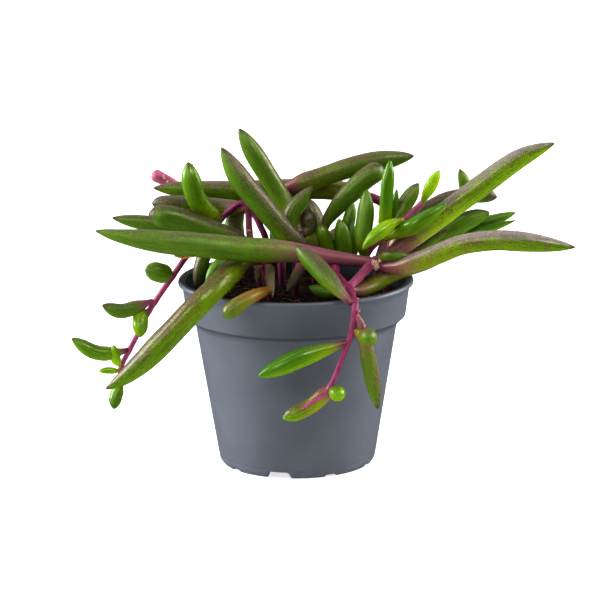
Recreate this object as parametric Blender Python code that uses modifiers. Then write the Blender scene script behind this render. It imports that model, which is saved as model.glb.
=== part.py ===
"""A small nursery pot of trailing long-leaved succulent: pot, soil and ten leafy stems.

Lengths in the tables are in millimetres. Everything is built in metres, +Z up, with the
origin on the pot's axis at the underside of its floor.
"""

import math
import random

import bmesh
import bpy
from mathutils import Matrix, Vector

MM = 0.001
GAP = 0.3

# Pot, a 6 cm nursery pot. Heights are above the surface that it stands on.
POT_HEIGHT = 47.8
RIM_RADIUS = 30.0
BAND_TOP_RADIUS = 28.9
BAND_BOTTOM_RADIUS = 27.9
BAND_BOTTOM = 38.4
SHOULDER_RADIUS = 25.7
SHOULDER = 36.3
BASE_RADIUS = 20.2
BASE = 2.4
FOOT_RADIUS = 19.1
FOOT_WIDTH = 1.7
FLOOR_UNDERSIDE = 1.8
WALL = 1.1
POT_SIDES = 48

# Notches in the foot: every third one is wide and as high as the foot.
NOTCH_COUNT = 9
NOTCH_START = -13.8
WIDE_NOTCH = (6.6, 1.8)
SMALL_NOTCH = (3.9, 0.7)
DRAIN_RADIUS = 2.4
DRAIN_CIRCLE = 11.0
DRAIN_COUNT = 4

# Soil.
SOIL_LEVEL = 43.0
SOIL_SIDES = 32
SOIL_RINGS = 4
SOIL_ROUGHNESS = 0.35
SOIL_CLEARANCE = 0.45
HOLE_CLEARANCE = 0.6
STEM_DEPTH = 7.0
SEED = 4

# The plant is laid out in its front view, which is taken from this point. A point of the
# plant is so far across, so far up and so far behind the pot's axis; behind the axis it
# moves along the sight line.
SIGHT = Vector((1.0, -780.4, 217.8))

STEM_SIDES = 1
LEAF_SIDES = 1
LEAF_END = 0.3

# Outlines of the leaves: width of the foot as a share of the full width, the share of the
# length over which it swells, where it starts to taper, and how blunt its end is.
OUTLINES = {
    "long": (0.42, 0.22, 0.68, 2.2),
    "even": (0.66, 0.10, 0.72, 2.2),
    "stalked": (0.36, 0.50, 0.64, 2.3),
    "petioled": (0.48, 0.45, 0.64, 2.3),
    "club": (0.30, 0.62, 0.86, 3.0),
    "paddle": (0.48, 0.45, 0.60, 2.4),
    "withered": (0.20, 0.98, 0.88, 3.0),
    "blunt": (0.50, 0.20, 0.80, 3.0),
    "young": (0.42, 0.50, 0.50, 2.1),
    "oval": (0.30, 0.40, 0.60, 2.2),
}
TIP_ROUNDNESS = 0.78
LONG_STATIONS = (0.0, 0.08, 0.18, 0.32, 0.50, 0.68, 0.82, 0.92, 0.98, 1.0)
SHORT_STATIONS = (0.0, 0.15, 0.36, 0.62, 0.84, 0.96, 1.0)
LONG_LEAF = 24.0

PINK = (0.42, 0.10, 0.22)
GREEN = (0.17, 0.28, 0.05)
OLIVE = (0.22, 0.24, 0.09)
MAUVE = (0.22, 0.20, 0.15)
YOUNG_GREEN = (0.30, 0.46, 0.08)
POT_GREY = (0.13, 0.14, 0.16)
PEAT = (0.035, 0.022, 0.016)

# Each plant: where its stem stands in the soil, the stem's thickness at foot and end, its
# line, side shoots, and leaves as (outline, width, line from foot to tip).
PLANTS = {
    "left_trailing_stem": {
        "colour": GREEN,
        "foot": (-9.0, 2.0),
        "thickness": (1.9, 1.3),
        "line": [
            (-9.6, 50.0, 2.0), (-11.2, 55.5, 2.0), (-11.8, 61.0, 2.0), (-12.0, 65.2, 2.2),
            (-13.5, 67.2, 2.6), (-16.2, 65.6, 3.0), (-19.5, 62.6, 3.0), (-23.5, 58.3, 2.5),
            (-27.7, 53.6, 2.0), (-31.5, 48.2, 2.0), (-34.6, 43.8, 2.5), (-37.9, 38.8, 3.0),
            (-40.7, 33.1, 3.5), (-43.3, 28.2, 4.0), (-45.0, 24.5, 4.0), (-44.7, 20.3, 3.5),
        ],
        "leaves": [
            ("oval", 5.2, [(-31.6, 48.6, 2.0), (-34.5, 49.4, -1.5), (-38.2, 50.3, -4.5)]),
            ("oval", 3.9, [(-36.4, 42.2, 2.7), (-40.5, 40.6, 1.2), (-45.0, 39.5, -0.3),
                           (-49.6, 41.0, -1.5)]),
            ("oval", 4.0, [(-37.9, 39.4, 3.0), (-39.6, 38.2, 1.0), (-40.0, 32.4, -1.5)]),
            ("oval", 3.9, [(-42.9, 29.3, 3.8), (-47.0, 28.4, 2.3), (-52.0, 28.9, 1.0),
                           (-57.6, 32.4, 0.0)]),
            ("oval", 2.5, [(-44.9, 24.8, 4.0), (-46.4, 27.0, 2.0), (-46.9, 30.5, 1.0)]),
            ("oval", 1.8, [(-45.0, 23.6, 4.0), (-48.0, 23.8, 3.0), (-50.8, 23.7, 2.5)]),
            ("oval", 3.3, [(-44.8, 20.8, 3.5), (-46.4, 17.3, 2.5), (-47.1, 13.5, 1.5)]),
            ("long", 5.2, [(-18.8, 62.8, 2.7), (-22.4, 65.0, 0.0), (-25.0, 68.7, -1.8),
                           (-26.3, 73.4, -2.6), (-27.0, 77.9, -3.0)]),
            ("blunt", 6.3, [(-11.4, 56.0, 2.0), (-19.3, 59.2, -1.5), (-29.5, 63.3, -3.5),
                            (-37.3, 64.6, -5.0)]),
            ("blunt", 4.4, [(-12.2, 65.6, 2.3), (-18.0, 66.3, 6.5), (-27.0, 67.1, 6.5),
                            (-36.4, 67.4, 6.0)]),
            ("long", 4.4, [(-10.6, 53.4, 2.0), (-17.0, 55.6, 5.0), (-25.0, 58.6, 6.0),
                           (-35.0, 61.7, 5.5), (-46.6, 63.7, 4.5)]),
            ("young", 5.0, [(-11.0, 54.6, 2.0), (-14.6, 57.2, 5.2), (-15.6, 61.2, 7.4),
                            (-14.4, 65.0, 8.4), (-12.8, 67.4, 8.8)]),
            ("long", 3.6, [(-10.8, 54.4, 1.8), (-16.5, 56.2, -1.0), (-21.8, 55.6, -3.0),
                           (-24.3, 51.0, -4.0), (-25.5, 45.0, -4.5)]),
            ("long", 3.8, [(-10.2, 52.0, 1.8), (-15.0, 53.4, -3.0), (-19.5, 51.0, -6.5),
                           (-23.0, 46.6, -9.0)]),
        ],
    },
    "front_trailing_stem": {
        "colour": OLIVE,
        "foot": (6.0, -9.0),
        "thickness": (2.2, 1.2),
        "line": [
            (6.6, 46.5, -9.5), (8.8, 50.0, -12.0), (10.8, 47.9, -16.0), (12.6, 45.8, -20.0),
            (13.9, 44.3, -23.5), (14.6, 42.3, -28.0), (15.1, 40.1, -31.5), (14.9, 38.0, -32.3),
            (14.2, 33.5, -32.3), (13.1, 30.4, -32.0), (11.6, 26.2, -31.5), (9.5, 20.9, -31.0),
            (7.6, 17.6, -31.6), (4.7, 15.6, -32.4), (1.1, 13.0, -32.8),
        ],
        "shoots": [
            (2.2, 2.6, [(13.4, 45.0, -22.0), (16.6, 48.2, -15.5), (19.3, 51.2, -10.5),
                        (20.6, 52.2, -8.5)]),
        ],
        "leaves": [
            ("stalked", 4.9, [(14.5, 40.6, -31.0), (11.0, 44.2, -29.0), (5.0, 51.0, -24.0),
                              (0.0, 56.0, -20.5)]),
            ("oval", 3.1, [(12.8, 45.4, -20.5), (8.2, 43.8, -19.5), (3.2, 45.3, -17.0)]),
            ("stalked", 4.4, [(13.1, 30.6, -32.0), (8.6, 29.2, -33.0), (0.0, 26.4, -35.0),
                              (-10.0, 21.8, -36.0)]),
            ("stalked", 3.9, [(14.9, 38.6, -32.3), (16.8, 34.6, -32.6), (18.7, 24.8, -31.0),
                              (20.8, 13.0, -29.5)]),
            ("oval", 4.6, [(14.5, 34.2, -32.3), (17.9, 32.3, -33.5), (18.4, 32.0, -38.5)]),
            ("oval", 4.1, [(8.4, 18.8, -31.0), (10.2, 17.4, -33.0), (10.4, 17.2, -37.0)]),
            ("long", 4.1, [(8.6, 19.2, -31.0), (6.0, 16.2, -30.2), (2.2, 13.3, -30.0),
                           (-3.8, 10.6, -30.6)]),
            ("petioled", 6.3, [(19.3, 51.6, -10.0), (8.8, 53.1, -12.0), (-1.4, 54.6, -15.0),
                              (-14.2, 55.5, -18.0), (-24.4, 56.6, -19.5), (-34.6, 57.6, -20.0),
                              (-44.8, 59.1, -20.0), (-51.0, 60.4, -19.5)]),
            ("long", 5.7, [(20.4, 51.6, -8.5), (25.4, 54.6, -6.5), (29.2, 57.9, -5.0),
                           (34.4, 61.8, -4.0), (44.6, 69.5, -4.0), (54.5, 76.8, -4.5),
                           (59.8, 79.7, -5.0), (65.7, 82.0, -5.5)]),
            ("long", 5.2, [(20.2, 50.6, -10.0), (26.6, 50.4, -13.5), (34.3, 53.0, -17.0),
                           (41.9, 56.0, -19.5), (49.6, 57.1, -21.5), (57.2, 56.8, -23.0),
                           (71.2, 55.0, -25.0)]),
            ("long", 4.0, [(13.2, 45.0, -21.0), (15.4, 44.2, -17.5), (20.3, 46.1, -12.0),
                           (26.4, 49.3, -9.0), (33.0, 51.3, -10.0), (39.1, 52.7, -11.0)]),
            ("oval", 3.0, [(20.4, 52.6, -9.0), (25.0, 53.4, -12.5), (29.2, 52.8, -14.5)]),
            ("young", 3.2, [(20.5, 51.4, -8.0), (21.9, 53.2, -2.6), (22.3, 57.6, 0.4)]),
        ],
    },
    "right_young_shoot": {
        "colour": YOUNG_GREEN,
        "foot": (16.0, -3.0),
        "thickness": (1.9, 1.4),
        "line": [
            (17.0, 50.0, -3.5), (18.6, 54.4, -4.8), (21.4, 57.4, -6.5), (24.0, 59.6, -8.0),
            (27.2, 62.4, -8.5), (32.4, 67.0, -7.5),
        ],
        "leaves": [
            ("young", 3.6, [(27.4, 62.6, -8.5), (24.2, 61.4, -11.5), (20.3, 58.6, -13.5),
                            (16.8, 54.9, -14.0)]),
            ("young", 4.3, [(22.0, 57.6, -7.0), (29.0, 60.6, -11.0), (34.2, 63.8, -11.5),
                            (38.5, 66.8, -11.0)]),
            ("young", 3.2, [(32.0, 66.6, -7.5), (33.7, 70.2, -7.5), (36.6, 75.3, -7.5)]),
            ("long", 3.3, [(22.4, 58.2, -7.0), (22.8, 64.0, -8.5), (23.3, 71.0, -8.5),
                           (24.1, 78.0, -8.0)]),
            ("young", 2.2, [(23.2, 59.0, -7.5), (24.8, 64.6, -6.5), (25.8, 70.6, -5.5)]),
            ("paddle", 4.1, [(23.6, 59.3, -7.5), (27.8, 66.6, -4.5), (31.3, 72.0, -3.5)]),
            ("paddle", 4.4, [(17.7, 52.0, -4.0), (16.9, 57.0, -6.3), (17.7, 63.6, -6.0),
                             (18.2, 70.6, -5.0)]),
        ],
    },
    "centre_stem": {
        "colour": OLIVE,
        "foot": (0.0, -2.0),
        "thickness": (2.2, 2.0),
        "line": [(0.2, 48.5, -2.0), (0.6, 53.5, -2.0), (1.2, 57.5, -1.0), (1.6, 60.0, 0.0)],
        "leaves": [
            ("long", 5.8, [(0.6, 52.8, -2.0), (2.2, 54.6, -4.5), (-0.7, 57.6, -6.0),
                           (-5.0, 62.6, -6.3), (-9.1, 67.6, -6.3), (-13.2, 72.7, -6.3),
                           (-17.0, 78.8, -6.3), (-18.6, 81.6, -6.3)]),
            ("long", 5.2, [(1.4, 58.8, -0.5), (-1.4, 65.2, 3.0), (-4.2, 70.0, 4.0),
                           (-7.0, 74.6, 4.2), (-9.7, 79.2, 4.2), (-14.1, 86.4, 4.0)]),
            ("young", 4.4, [(0.8, 55.6, -1.5), (-1.6, 60.4, -1.5), (-0.6, 65.2, -1.2),
                            (2.0, 68.7, -1.0), (4.5, 71.4, -1.0)]),
            ("paddle", 4.2, [(1.6, 58.6, -0.2), (3.4, 61.0, 1.4), (2.8, 65.6, 2.0)]),
            ("oval", 3.6, [(0.4, 52.0, -2.0), (-3.2, 55.6, -1.0), (-6.4, 60.0, 0.5)]),
            ("long", 2.6, [(0.2, 50.0, -2.0), (1.6, 51.2, -7.0), (0.2, 48.4, -11.5),
                           (-2.4, 44.0, -15.0)]),
        ],
    },
    "upright_leaf_stem": {
        "colour": GREEN,
        "foot": (7.5, 3.0),
        "thickness": (2.1, 2.0),
        "line": [(7.6, 49.5, 3.0), (7.6, 54.5, 2.8), (7.4, 57.5, 2.6)],
        "leaves": [
            ("club", 5.5, [(7.2, 56.5, 2.6), (7.6, 61.6, 2.0), (10.8, 66.4, 1.5),
                           (14.4, 70.3, 1.2), (18.0, 73.6, 1.2), (22.5, 76.2, 1.5)]),
            ("paddle", 4.0, [(7.6, 53.6, 2.6), (8.6, 54.6, -1.0), (7.2, 58.4, -2.5),
                             (5.8, 61.9, -3.0)]),
            ("paddle", 4.4, [(7.6, 51.8, 2.6), (12.0, 53.8, -2.0), (11.9, 58.6, -3.0),
                             (11.0, 63.0, -3.5)]),
            ("paddle", 3.6, [(7.7, 53.0, 2.8), (12.0, 58.2, 0.4), (13.6, 63.0, 0.2),
                             (14.6, 67.6, 0.2)]),
            ("young", 3.5, [(7.6, 51.0, 2.8), (13.4, 53.4, -1.0), (14.4, 57.6, -2.0),
                            (14.2, 62.6, -2.0)]),
            ("paddle", 4.6, [(7.2, 56.6, 3.0), (5.4, 62.0, 6.4), (2.4, 68.6, 7.6)]),
        ],
    },
    "back_centre_stem": {
        "colour": MAUVE,
        "foot": (-3.5, 9.0),
        "thickness": (2.1, 2.2),
        "line": [
            (-3.6, 52.0, 9.0), (-3.4, 60.0, 9.5), (-3.6, 66.5, 9.8), (-4.0, 70.8, 9.6),
        ],
        "leaves": [
            ("long", 5.4, [(-3.8, 70.2, 9.6), (-1.0, 71.4, 9.0), (6.2, 73.7, 8.5),
                           (12.7, 75.9, 8.0), (18.8, 77.5, 8.0), (24.4, 78.3, 8.0),
                           (30.2, 79.0, 8.0)]),
            ("long", 5.0, [(-3.4, 60.0, 9.5), (-1.5, 64.0, 16.0), (1.0, 66.5, 26.0),
                           (4.0, 64.5, 38.0)]),
            ("long", 4.8, [(-3.4, 57.0, 9.3), (-4.6, 61.5, 15.0), (-5.6, 65.6, 22.0),
                           (-5.5, 68.6, 29.0), (-4.0, 70.6, 38.0)]),
        ],
    },
    "long_leaf_stem": {
        "colour": GREEN,
        "foot": (20.5, 7.0),
        "thickness": (2.1, 2.4),
        "line": [
            (21.8, 52.0, 8.0), (22.9, 58.0, 9.0), (23.0, 63.4, 10.0), (22.3, 66.6, 10.6),
            (20.3, 68.0, 11.0), (17.2, 69.1, 12.0), (14.2, 70.5, 13.0),
        ],
        "leaves": [
            ("even", 5.3, [(16.5, 69.4, 12.2), (8.8, 70.6, 13.6), (-1.4, 70.9, 14.0),
                           (-15.5, 70.5, 14.0), (-29.5, 71.0, 13.5), (-36.0, 71.3, 13.0)]),
            ("long", 4.8, [(22.2, 54.6, 8.6), (23.5, 57.6, 16.0), (24.5, 58.0, 26.0),
                           (24.5, 55.0, 37.0)]),
            ("long", 4.4, [(22.9, 58.6, 9.0), (26.0, 61.0, 14.5), (30.5, 62.6, 23.0),
                           (34.5, 62.8, 33.0)]),
        ],
    },
    "right_trailing_shoot": {
        "colour": GREEN,
        "foot": (23.0, 1.0),
        "thickness": (1.9, 1.5),
        "line": [
            (24.6, 51.0, 1.5), (27.6, 55.0, 2.5), (32.0, 59.6, 3.4), (37.0, 63.2, 3.6),
            (42.0, 66.4, 3.6),
        ],
        "leaves": [
            ("blunt", 4.4, [(28.6, 56.6, 2.8), (31.7, 63.4, 6.0), (36.8, 67.0, 6.5),
                            (41.4, 68.4, 5.5), (46.3, 69.0, 4.5), (51.2, 68.2, 4.0)]),
            ("young", 3.2, [(41.6, 66.2, 3.6), (43.2, 70.4, 3.0), (41.6, 75.6, 2.5)]),
            ("long", 5.0, [(27.2, 54.6, 2.4), (34.3, 56.8, 3.5), (39.4, 59.9, 3.5),
                           (44.5, 62.7, 3.5), (49.4, 64.3, 3.5)]),
            ("young", 2.6, [(26.8, 53.8, 2.0), (31.0, 55.0, -0.5), (35.2, 57.7, -0.8),
                            (38.8, 59.9, -1.0)]),
            ("young", 3.8, [(37.0, 63.0, 3.6), (42.0, 60.6, 7.5), (48.5, 61.8, 8.0),
                            (56.0, 64.2, 8.0)]),
            ("young", 2.4, [(36.6, 62.8, 3.6), (41.5, 58.6, 6.5), (48.0, 59.8, 5.5),
                            (56.0, 62.2, 4.5)]),
        ],
    },
    "low_left_stem": {
        "colour": OLIVE,
        "foot": (-6.5, -9.5),
        "thickness": (2.0, 1.8),
        "line": [(-6.8, 46.5, -9.5), (-8.2, 50.5, -8.8), (-9.0, 53.0, -8.0)],
        "leaves": [
            ("long", 6.1, [(-8.8, 52.6, -8.0), (-12.4, 52.2, -10.5), (-16.0, 49.8, -15.5),
                           (-19.8, 46.2, -23.5), (-23.5, 42.5, -27.5), (-27.5, 38.5, -29.0),
                           (-35.3, 30.3, -30.0), (-40.6, 25.1, -30.5), (-45.2, 21.3, -30.5),
                           (-49.2, 18.8, -30.0)]),
            ("withered", 4.1, [(-6.7, 45.4, -9.6), (-6.4, 44.9, -16.0), (-7.6, 44.4, -24.0),
                               (-11.4, 42.9, -30.0), (-15.0, 40.7, -32.8), (-18.7, 37.5, -33.8)]),
            ("oval", 2.4, [(-8.2, 50.4, -8.8), (-6.6, 50.3, -13.5), (-6.6, 47.6, -19.5),
                           (-6.0, 42.6, -24.0)]),
            ("oval", 1.8, [(-8.4, 51.0, -8.8), (-9.8, 49.8, -12.0), (-9.9, 46.8, -14.0)]),
        ],
    },
    "cut_stem": {
        "colour": PINK,
        "foot": (-7.5, 13.0),
        "thickness": (1.6, 1.8),
        "line": [
            (-7.0, 52.0, 13.5), (-7.5, 57.5, 14.5), (-8.8, 61.0, 15.5), (-10.7, 64.6, 17.5),
            (-15.0, 68.8, 20.0), (-21.0, 70.0, 20.5), (-27.0, 70.0, 20.5),
        ],
        "shoots": [
            (2.7, 3.4, [(-25.4, 69.8, 20.5), (-28.6, 70.6, 20.4), (-31.8, 72.6, 20.0),
                        (-36.2, 75.1, 19.5)]),
        ],
        "leaves": [
            ("long", 4.8, [(-7.1, 53.4, 13.7), (-13.0, 55.6, 20.0), (-19.0, 58.0, 28.0),
                           (-26.0, 60.0, 36.0)]),
            ("young", 4.4, [(-15.0, 68.7, 20.0), (-16.5, 66.6, 26.0), (-19.0, 65.6, 33.0)]),
            ("young", 4.0, [(-22.0, 70.0, 20.5), (-24.0, 70.6, 26.0), (-27.0, 70.2, 32.0)]),
        ],
    },
    "rear_trailing_stem": {
        "colour": GREEN,
        "foot": (5.0, 14.0),
        "thickness": (1.9, 1.2),
        "line": [
            (5.2, 50.5, 15.0), (6.5, 55.0, 20.0), (8.0, 56.6, 26.5), (9.2, 55.0, 32.0),
            (9.8, 50.5, 34.5), (9.2, 44.0, 35.0), (7.5, 38.0, 34.5), (5.0, 32.0, 34.0),
            (3.0, 26.5, 33.5),
        ],
        "leaves": [
            ("long", 4.8, [(6.4, 54.8, 20.0), (11.0, 58.5, 26.5), (15.0, 58.5, 34.0),
                           (18.5, 55.0, 42.0)]),
            ("long", 4.6, [(7.6, 56.2, 25.0), (2.5, 58.5, 29.5), (-3.5, 57.5, 34.0),
                           (-9.5, 53.0, 38.0)]),
            ("oval", 4.2, [(9.8, 50.0, 34.6), (13.0, 47.0, 36.5), (17.0, 42.5, 38.0)]),
            ("oval", 4.0, [(9.0, 43.4, 35.0), (5.0, 42.0, 37.0), (0.0, 38.0, 38.5)]),
            ("oval", 4.2, [(7.2, 37.2, 34.5), (10.5, 34.0, 35.0), (13.0, 28.5, 34.5)]),
            ("oval", 3.8, [(5.0, 32.0, 34.0), (1.5, 29.5, 35.0), (-2.5, 25.0, 35.0)]),
            ("oval", 3.6, [(3.2, 27.2, 33.6), (3.5, 24.0, 34.5), (4.5, 20.0, 34.5)]),
        ],
    },
}


def smooth(t):
    t = min(max(t, 0.0), 1.0)
    return t * t * (3 - 2 * t)


def make_material(name, colour, roughness):
    material = bpy.data.materials.new(name)
    material.use_nodes = True
    shader = material.node_tree.nodes["Principled BSDF"]
    shader.inputs["Base Color"].default_value = (*colour, 1.0)
    shader.inputs["Roughness"].default_value = roughness
    shader.inputs["Metallic"].default_value = 0.0
    return material


def add_object(name, mesh, collection):
    made = bpy.data.objects.new(name, mesh)
    collection.objects.link(made)
    return made


def as_cutter(cutter):
    cutter.hide_render = True
    cutter.display_type = "WIRE"
    return cutter


def bake(made):
    """Replaces an object's mesh by its evaluated one and drops its modifiers."""
    bpy.context.view_layer.update()
    graph = bpy.context.evaluated_depsgraph_get()
    mesh = bpy.data.meshes.new_from_object(made.evaluated_get(graph))
    made.modifiers.clear()
    made.data = mesh
    return made


def turned(name, profile, sides, collection):
    """A solid turned round the Z axis from a profile of (radius, height) in millimetres."""
    mesh = bpy.data.meshes.new(name)
    points = [(r * MM, 0.0, (z - FLOOR_UNDERSIDE) * MM) for r, z in profile]
    mesh.from_pydata(points, [(i, i + 1) for i in range(len(points) - 1)], [])
    made = add_object(name, mesh, collection)
    screw = made.modifiers.new("turn", "SCREW")
    screw.steps = screw.render_steps = sides
    screw.use_merge_vertices = True
    screw.merge_threshold = 0.00001
    screw.use_smooth_shade = True
    return bake(made)


def cut(made, cutters, solver="EXACT"):
    """Takes every object of the cutters' collection away from the object."""
    change = made.modifiers.new("cut", "BOOLEAN")
    change.operation = "DIFFERENCE"
    change.operand_type = "COLLECTION"
    change.collection = cutters
    change.solver = solver
    return bake(made)


def pot_profile():
    """Inside floor, inner wall, rolled lip, outer wall, foot ring and underside."""
    floor_top = FLOOR_UNDERSIDE + WALL
    return [
        (0.0, floor_top),
        (BASE_RADIUS - WALL - 1.0, floor_top),
        (BASE_RADIUS - WALL, floor_top + 1.0),
        (SHOULDER_RADIUS - WALL, SHOULDER),
        (BAND_BOTTOM_RADIUS - WALL, BAND_BOTTOM),
        (BAND_TOP_RADIUS - WALL, POT_HEIGHT - 2.4),
        (RIM_RADIUS - 1.7, POT_HEIGHT - 0.3),
        (RIM_RADIUS - 1.2, POT_HEIGHT),
        (RIM_RADIUS - 0.4, POT_HEIGHT - 0.1),
        (RIM_RADIUS, POT_HEIGHT - 0.7),
        (RIM_RADIUS - 0.2, POT_HEIGHT - 1.5),
        (BAND_TOP_RADIUS, POT_HEIGHT - 2.4),
        (BAND_BOTTOM_RADIUS, BAND_BOTTOM),
        (BAND_BOTTOM_RADIUS - 0.5, BAND_BOTTOM - 1.1),
        (BAND_BOTTOM_RADIUS - 1.3, BAND_BOTTOM - 1.8),
        (SHOULDER_RADIUS, SHOULDER),
        (BASE_RADIUS, BASE),
        (BASE_RADIUS - 0.3, BASE / 2),
        (FOOT_RADIUS, 0.0),
        (FOOT_RADIUS - FOOT_WIDTH, 0.0),
        (FOOT_RADIUS - FOOT_WIDTH, FLOOR_UNDERSIDE),
        (0.0, FLOOR_UNDERSIDE),
    ]


def add_notch_cutter(index, collection):
    """A tapered block across the foot ring, wider at the bottom."""
    width, height = WIDE_NOTCH if index % 3 == 0 else SMALL_NOTCH
    bm = bmesh.new()
    bmesh.ops.create_cube(bm, size=1.0)
    for vert in bm.verts:
        top = vert.co.z > 0
        vert.co.x *= width * (0.78 if top else 1.1) * MM
        vert.co.y = (vert.co.y * 6.0 - FOOT_RADIUS) * MM
        vert.co.z = ((height if top else -1.0) - FLOOR_UNDERSIDE) * MM
    angle = math.radians(NOTCH_START + index * 360 / NOTCH_COUNT)
    bmesh.ops.rotate(bm, verts=bm.verts, matrix=Matrix.Rotation(angle, 3, "Z"))
    mesh = bpy.data.meshes.new("notch")
    bm.to_mesh(mesh)
    bm.free()
    as_cutter(add_object(f"notch_{index + 1}", mesh, collection))


def add_cylinder_cutter(name, centre, radius, low, high, collection, sides=16):
    """An upright round cutter between two heights above the surface, in millimetres."""
    bm = bmesh.new()
    bmesh.ops.create_cone(
        bm, cap_ends=True, segments=sides, radius1=radius * MM, radius2=radius * MM,
        depth=(high - low) * MM,
    )
    middle = Vector((centre[0], centre[1], (low + high) / 2 - FLOOR_UNDERSIDE)) * MM
    bmesh.ops.translate(bm, verts=bm.verts, vec=middle)
    mesh = bpy.data.meshes.new(name)
    bm.to_mesh(mesh)
    bm.free()
    as_cutter(add_object(name, mesh, collection))


def make_pot(collection):
    pot = turned("pot", pot_profile(), POT_SIDES, collection)
    cutters = bpy.data.collections.new("pot cutters")
    bpy.context.scene.collection.children.link(cutters)
    for index in range(NOTCH_COUNT):
        add_notch_cutter(index, cutters)
    for index in range(DRAIN_COUNT):
        angle = math.radians(45 + index * 360 / DRAIN_COUNT)
        centre = (DRAIN_CIRCLE * math.cos(angle), DRAIN_CIRCLE * math.sin(angle))
        add_cylinder_cutter(
            f"drain_{index + 1}", centre, DRAIN_RADIUS, 0.0, FLOOR_UNDERSIDE + 4.0, cutters
        )
    cut(pot, cutters)
    pot.data.materials.append(make_material("pot plastic", POT_GREY, 0.45))
    return pot


def make_soil(collection):
    """Peat that fills the pot, its top uneven, with a plain hole for each stem."""
    bottom = FLOOR_UNDERSIDE + WALL + GAP
    edge = BAND_BOTTOM_RADIUS - WALL - SOIL_CLEARANCE
    profile = [(edge * i / SOIL_RINGS, SOIL_LEVEL) for i in range(SOIL_RINGS + 1)]
    profile += [
        (edge, BAND_BOTTOM + SOIL_CLEARANCE),
        (SHOULDER_RADIUS - WALL - SOIL_CLEARANCE, SHOULDER),
        (BASE_RADIUS - WALL - SOIL_CLEARANCE, bottom + 1.2),
        (BASE_RADIUS - WALL - 1.0 - SOIL_CLEARANCE, bottom),
        (0.0, bottom),
    ]
    soil = turned("soil", profile, SOIL_SIDES, collection)
    rng = random.Random(SEED)
    top = (SOIL_LEVEL - FLOOR_UNDERSIDE) * MM
    for vert in soil.data.vertices:
        if vert.co.z > top - 0.1 * MM and vert.co.xy.length < (edge - 1.0) * MM:
            vert.co.z += rng.uniform(-1.0, 1.0) * SOIL_ROUGHNESS * MM
    cutters = bpy.data.collections.new("stem holes")
    bpy.context.scene.collection.children.link(cutters)
    for name, plant in PLANTS.items():
        add_cylinder_cutter(
            f"hole_{name}", plant["foot"], plant["thickness"][0] / 2 + HOLE_CLEARANCE,
            SOIL_LEVEL - STEM_DEPTH - HOLE_CLEARANCE, SOIL_LEVEL + 2.0, cutters, 12
        )
    cut(soil, cutters)
    soil.data.materials.append(make_material("peat", PEAT, 0.95))
    return soil


def placed(across, up, behind):
    """The place of a point of the plant's front view, in metres."""
    front = Vector((across, 0.0, up))
    place = front + (front - SIGHT) * (behind / -SIGHT.y)
    return (place - Vector((0, 0, FLOOR_UNDERSIDE))) * MM


def curve_point(points, t):
    """The point at t, from 0 to 1, of the smooth curve through evenly counted points."""
    spans = len(points) - 1
    index = min(int(t * spans), spans - 1)
    local = t * spans - index
    here, there = points[index], points[index + 1]
    before = points[index - 1] if index > 0 else here * 2 - there
    after = points[index + 2] if index + 2 <= spans else there * 2 - here
    return 0.5 * (
        2 * here
        + (there - before) * local
        + (2 * before - 5 * here + 4 * there - after) * local ** 2
        + (3 * here - before - 3 * there + after) * local ** 3
    )


def even_points(points, shares):
    """Points at the given shares of a smooth curve's length."""
    fine = [curve_point(points, i / 200) for i in range(201)]
    run = [0.0]
    for a, b in zip(fine, fine[1:]):
        run.append(run[-1] + (b - a).length)
    found = []
    for share in shares:
        wanted = share * run[-1]
        index = next((i for i in range(200) if run[i + 1] >= wanted - 1e-9), 199)
        span = max(run[index + 1] - run[index], 1e-9)
        found.append(fine[index].lerp(fine[index + 1], (wanted - run[index]) / span))
    return found, run[-1]


def tube(name, points, radii, resolution, collection):
    """A closed tube of changing thickness along points, as a mesh object."""
    curve = bpy.data.curves.new(name, "CURVE")
    curve.dimensions = "3D"
    curve.bevel_depth = 1.0
    curve.bevel_resolution = resolution
    curve.use_fill_caps = True
    spline = curve.splines.new("POLY")
    spline.points.add(len(points) - 1)
    for spot, place, radius in zip(spline.points, points, radii):
        spot.co = (*place, 1.0)
        spot.radius = radius
    guide = add_object(name + "_curve", curve, collection)
    bpy.context.view_layer.update()
    graph = bpy.context.evaluated_depsgraph_get()
    mesh = bpy.data.meshes.new_from_object(guide.evaluated_get(graph))
    bpy.data.objects.remove(guide)
    bpy.data.curves.remove(curve)
    bm = bmesh.new()
    bm.from_mesh(mesh)
    bmesh.ops.remove_doubles(bm, verts=bm.verts, dist=0.000005)
    bmesh.ops.recalc_face_normals(bm, faces=bm.faces)
    bm.to_mesh(mesh)
    bm.free()
    return add_object(name, mesh, collection)


def leaf_radii(outline, width, shares):
    neck, swell, taper, blunt = OUTLINES[outline]
    radii = []
    for share in shares:
        girth = neck + (1 - neck) * smooth(share / swell)
        if share > taper:
            girth *= (1 - ((share - taper) / (1 - taper)) ** blunt) ** TIP_ROUNDNESS
        radii.append(max(girth * width / 2, LEAF_END) * MM)
    return radii


def add_leaf(name, outline, width, line, collection):
    places = [placed(*point) for point in line]
    length = even_points(places, (0.0,))[1]
    shares = LONG_STATIONS if length > LONG_LEAF * MM else SHORT_STATIONS
    points, length = even_points(places, shares)
    radii = leaf_radii(outline, width, shares)
    return tube(name, points, radii, LEAF_SIDES, collection)


def add_stem(name, places, thick, thin, collection):
    count = max(4, 2 * len(places) - 3)
    shares = [i / (count - 1) for i in range(count)]
    points, length = even_points(places, shares)
    radii = [(thick + (thin - thick) * share) / 2 * MM for share in shares]
    return tube(name, points, radii, STEM_SIDES, collection)


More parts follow.
